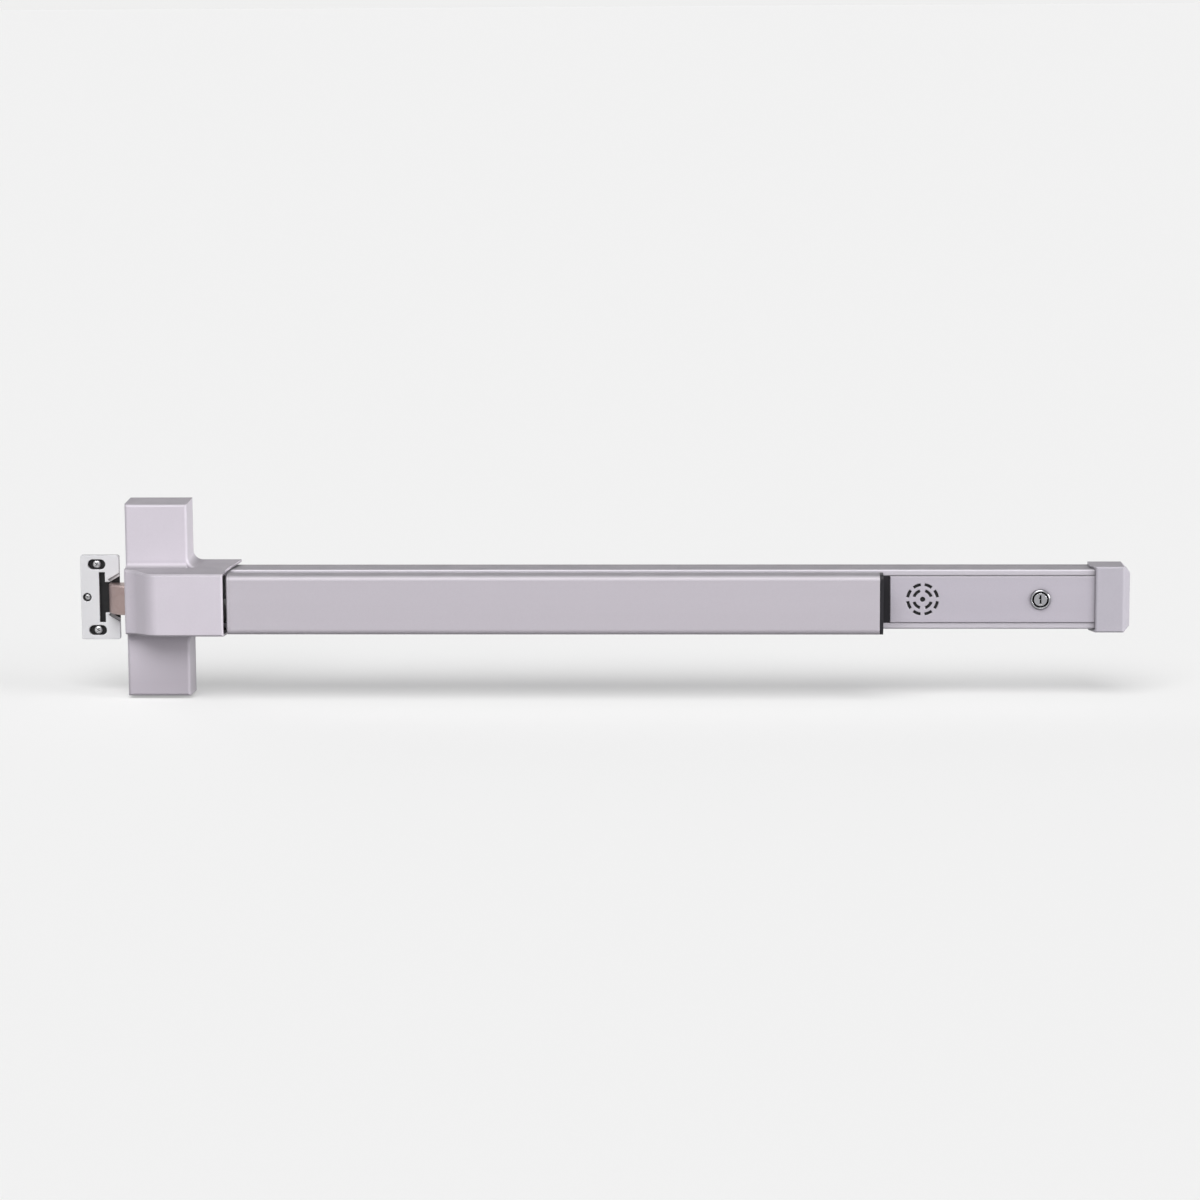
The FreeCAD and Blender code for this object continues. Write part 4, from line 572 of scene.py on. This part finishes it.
black_nylon = moulded("black_nylon", (0.007, 0.006, 0.009), (0.020, 0.019, 0.024), 0.50)
nylon_shader = black_nylon.node_tree.nodes["Principled BSDF"]
nylon_shader.inputs["Specular IOR Level"].default_value = 0.32
dress(black_nylon, "push_bar_right_cap", "rail_divider")
stop_rubber = moulded("stop_rubber", (0.018, 0.018, 0.018), (0.05, 0.048, 0.045), 0.75, 900.0)
dress(stop_rubber, "stop_pads")


# ---------------------------------------------------------------- alarm section
# A shallow extruded cover snapped behind the rail's lips, pierced with two rings of
# sounder slots and a round hole for the key. Behind it: a black gauze, the sounder, its
# board on a moulded tray, and a block battery with its snap clip.
# painted shade in corners a little weaker here (Closed 0.70): a soft painted shade beside the end
# cap and the divider
cover_coat = extruded_coat("silver_coat_cover", (0.475, 0.442, 0.501), (0.82, 0.80, 0.84),
                           edge=0.0009, fineness=1000.0, closed=0.70)
dress(cover_coat, "alarm_cover")

gauze, tree, shader = blank_material("black_gauze", 0.6)
spot = add_node(tree, "TexCoord")
split = add_node(tree, "SeparateXYZ")
tree.links.new(spot.outputs["Object"], split.inputs[0])
weave = 2600.0
threads = []
for side in ("X", "Z"):
    phase = reckoned(tree, "MULTIPLY", split.outputs[side], weave)
    threads.append(reckoned(tree, "ABSOLUTE", reckoned(tree, "SINE", phase)))
woven = reckoned(tree, "MAXIMUM", *threads)
tree.links.new(colour_mix(tree, woven, (0.004, 0.004, 0.004), (0.022, 0.022, 0.024)),
               shader.inputs["Base Color"])
bump = add_node(tree, "Bump", Distance=0.0003)
tree.links.new(woven, bump.inputs["Height"])
tree.links.new(bump.outputs["Normal"], shader.inputs["Normal"])
dress(gauze, "sounder_mesh")

sounder_case = moulded("sounder_case", (0.016, 0.016, 0.016), (0.04, 0.04, 0.04), 0.38, 2200.0)
dress(sounder_case, "sounder", "board_components", "reed_sensor", "key_switch", "battery_clip")
tray_plastic = moulded("tray_plastic", (0.035, 0.035, 0.038), (0.07, 0.07, 0.07), 0.52)
dress(tray_plastic, "alarm_tray")

solder_mask, tree, shader = blank_material("solder_mask", 0.28)
spot = add_node(tree, "TexCoord")
turn = add_node(tree, "Mapping", Rotation=(math.pi / 2, 0, 0))
tracks = add_node(tree, "TexBrick", Scale=260, Mortar_Size=0.03,
                  Color1=(0.020, 0.160, 0.070, 1), Color2=(0.028, 0.190, 0.085, 1),
                  Mortar=(0.060, 0.300, 0.140, 1))
tree.links.new(spot.outputs["Object"], turn.inputs["Vector"])
tree.links.new(turn.outputs["Vector"], tracks.inputs["Vector"])
tree.links.new(tracks.outputs["Color"], shader.inputs["Base Color"])
bump = add_node(tree, "Bump", Distance=0.00004)
tree.links.new(tracks.outputs["Fac"], bump.inputs["Height"])
tree.links.new(bump.outputs["Normal"], shader.inputs["Normal"])
dress(solder_mask, "circuit_board")

battery_sleeve = bright_metal("battery_sleeve", (0.08, 0.09, 0.11), (0.13, 0.14, 0.16),
                              (0.30, 0.30, 0.31), 0.35)
dress(battery_sleeve, "battery")
oxide_black = bright_metal("oxide_black", (0.020, 0.020, 0.021), (0.045, 0.045, 0.046),
                           (0.16, 0.16, 0.16), 0.45)
dress(oxide_black, "bar_magnet", "strike_backing")


# ---------------------------------------------------------------- key lock
# A cam lock through the cover: a turned brass barrel with a rounded bezel and a groove
# round the plug, chromed and polished, held from behind by a nickelled nut.
# painted shade: the chrome is painted almost black in the groove round the plug and in the keyway
chrome = bright_metal("polished_chrome", (0.34, 0.34, 0.36), (0.46, 0.46, 0.48),
                      (0.85, 0.85, 0.88), 0.13, grain=0.3, depth=0.000004, corner=0.0032)
dress(chrome, "key_plug")


def turned(name, centre, profile, material, steps=96):
    """A piece turned on an axis along Y, from the (radius, y) points round its section."""
    points, faces = [], []
    for i in range(steps):
        angle = 2 * math.pi * i / steps
        points += [(centre.x + r * math.cos(angle), y, centre.z + r * math.sin(angle))
                   for r, y in profile]
    count = len(profile)
    for i in range(steps):
        for j in range(count):
            here, after, ahead = i * count, (i + 1) % steps * count, (j + 1) % count
            faces.append((here + j, here + ahead, after + ahead, after + j))
    mesh = bpy.data.meshes.new(name)
    mesh.from_pydata(points, [], faces)
    mesh.materials.append(material)
    for face in mesh.polygons:
        face.use_smooth = True
    mesh.set_sharp_from_angle(angle=math.radians(40))
    piece = bpy.data.objects.new(name, mesh)
    bpy.context.scene.collection.objects.link(piece)
    return piece


low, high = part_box("key_barrel")
plug_low, plug_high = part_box("key_plug")
play, lip, groove_wall, groove_floor, groove_depth = 0.00005, 0.0011, 0.0001, 0.0005, 0.0018
outer, bore = (high.z - low.z) / 2, (plug_high.x - plug_low.x) / 2 + play
face_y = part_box("alarm_cover")[0].y
shank = outer - lip
rounded_lip = [(outer - lip * (1 - math.cos(a)), low.y + lip * (1 - math.sin(a)))
               for a in (math.radians(15 * i) for i in range(7))]
groove = [(shank - groove_wall, low.y), (bore + groove_floor, low.y + groove_depth),
          (bore, low.y + groove_depth)]
section = [(bore, high.y), (shank, high.y), (shank, face_y), (outer, face_y)]
bezel = turned("lock_bezel", (low + high) / 2, section + rounded_lip + groove, chrome)
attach(bezel, "chassis")
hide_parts("key_barrel")
nickel = bright_metal("nickelled_brass", (0.56, 0.52, 0.43), (0.68, 0.64, 0.54),
                      (0.84, 0.80, 0.70), 0.26)
dress(nickel, "key_nut")


# ---------------------------------------------------------------- end cap
# The die-cast cap over the rail's far end, bevelled on its right side and coated like
# the head. It drops over the end plate and one screw from below holds it.
cap_coat = cast_coat("silver_coat_cap", (0.452, 0.427, 0.481), (0.85, 0.83, 0.87), shade_and_dust_from=0.6)
dress(cap_coat, "end_cap")


# ---------------------------------------------------------------- strike
# The flat catch plate on the door frame: pressed steel with a mouth for the latch and a
# slot, in a pale satin finish, over a black spacer. Two slotted holes let it be set.
strike_satin = cast_coat("satin_strike", (0.89, 0.89, 0.905), (0.95, 0.95, 0.955))
dress(strike_satin, "strike_plate")


# ---------------------------------------------------------------- screws
# Small zinc plated steel screws: hexagon heads under the head and cap and on the rail's
# tongues, and domed heads with a cross recess in the strike, driven down to its spacer.
screw_zinc = bright_metal("screw_zinc", (0.46, 0.46, 0.47), (0.66, 0.66, 0.67),
                          (0.86, 0.86, 0.86), 0.30, edge=0.0003)
dress(screw_zinc, "head_cover_screw", "rail_screws", "end_cap_screw")


def crossed_heads(name, node, places, radius, turn):
    """Domed screw heads facing -Y, each pressed in with a tapered cross recess."""
    low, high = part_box(node)
    height = high.y - low.y
    dome_fall, pit_depth = 0.42 * height, 0.62 * height
    arm_half, arm_reach, taper = 0.13 * radius, 0.60 * radius, 0.11 * radius
    rings, steps = 22, 96
    angles = [2 * math.pi * j / steps for j in range(steps)]
    points, faces = [], []
    for x, z in places:
        first = len(points)
        points.append((x, low.y + pit_depth, z))
        for i in range(1, rings + 1):
            r = radius * i / rings
            for angle in angles:
                u, w = abs(r * math.cos(angle + turn)), abs(r * math.sin(angle + turn))
                dome = dome_fall * (r / radius) ** 2.6
                outside_arm = max(min(u, w) - arm_half, max(u, w) - arm_reach)
                pit = pit_depth * min(1.0, max(0.0, -outside_arm / taper))
                points.append((x + r * math.cos(angle), low.y + max(dome, pit),
                               z + r * math.sin(angle)))
        points += [(x + radius * math.cos(angle), high.y, z + radius * math.sin(angle))
                   for angle in angles]
        for j in range(steps):
            after = (j + 1) % steps
            faces.append((first, first + 1 + j, first + 1 + after))
            for i in range(rings):
                inner, outer = first + 1 + i * steps, first + 1 + (i + 1) * steps
                faces.append((inner + j, outer + j, outer + after, inner + after))
        faces.append(tuple(first + 1 + rings * steps + j for j in reversed(range(steps))))
    mesh = bpy.data.meshes.new(name)
    mesh.from_pydata(points, [], faces)
    mesh.materials.append(screw_zinc)
    for face in mesh.polygons:
        face.use_smooth = True
    mesh.set_sharp_from_angle(angle=math.radians(35))
    heads = bpy.data.objects.new(name, mesh)
    bpy.context.scene.collection.objects.link(heads)
    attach(heads, "chassis")
    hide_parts(node)


low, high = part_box("strike_screws")
half, middle_x = (high.x - low.x) / 2, (low.x + high.x) / 2
crossed_heads("strike_screw_heads", "strike_screws",
              [(middle_x, low.z + half), (middle_x, high.z - half)], half, 0.5)
low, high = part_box("strike_centre_screw")
crossed_heads("strike_centre_head", "strike_centre_screw",
              [((low.x + high.x) / 2, (low.z + high.z) / 2)], (high.x - low.x) / 2, 0.2)
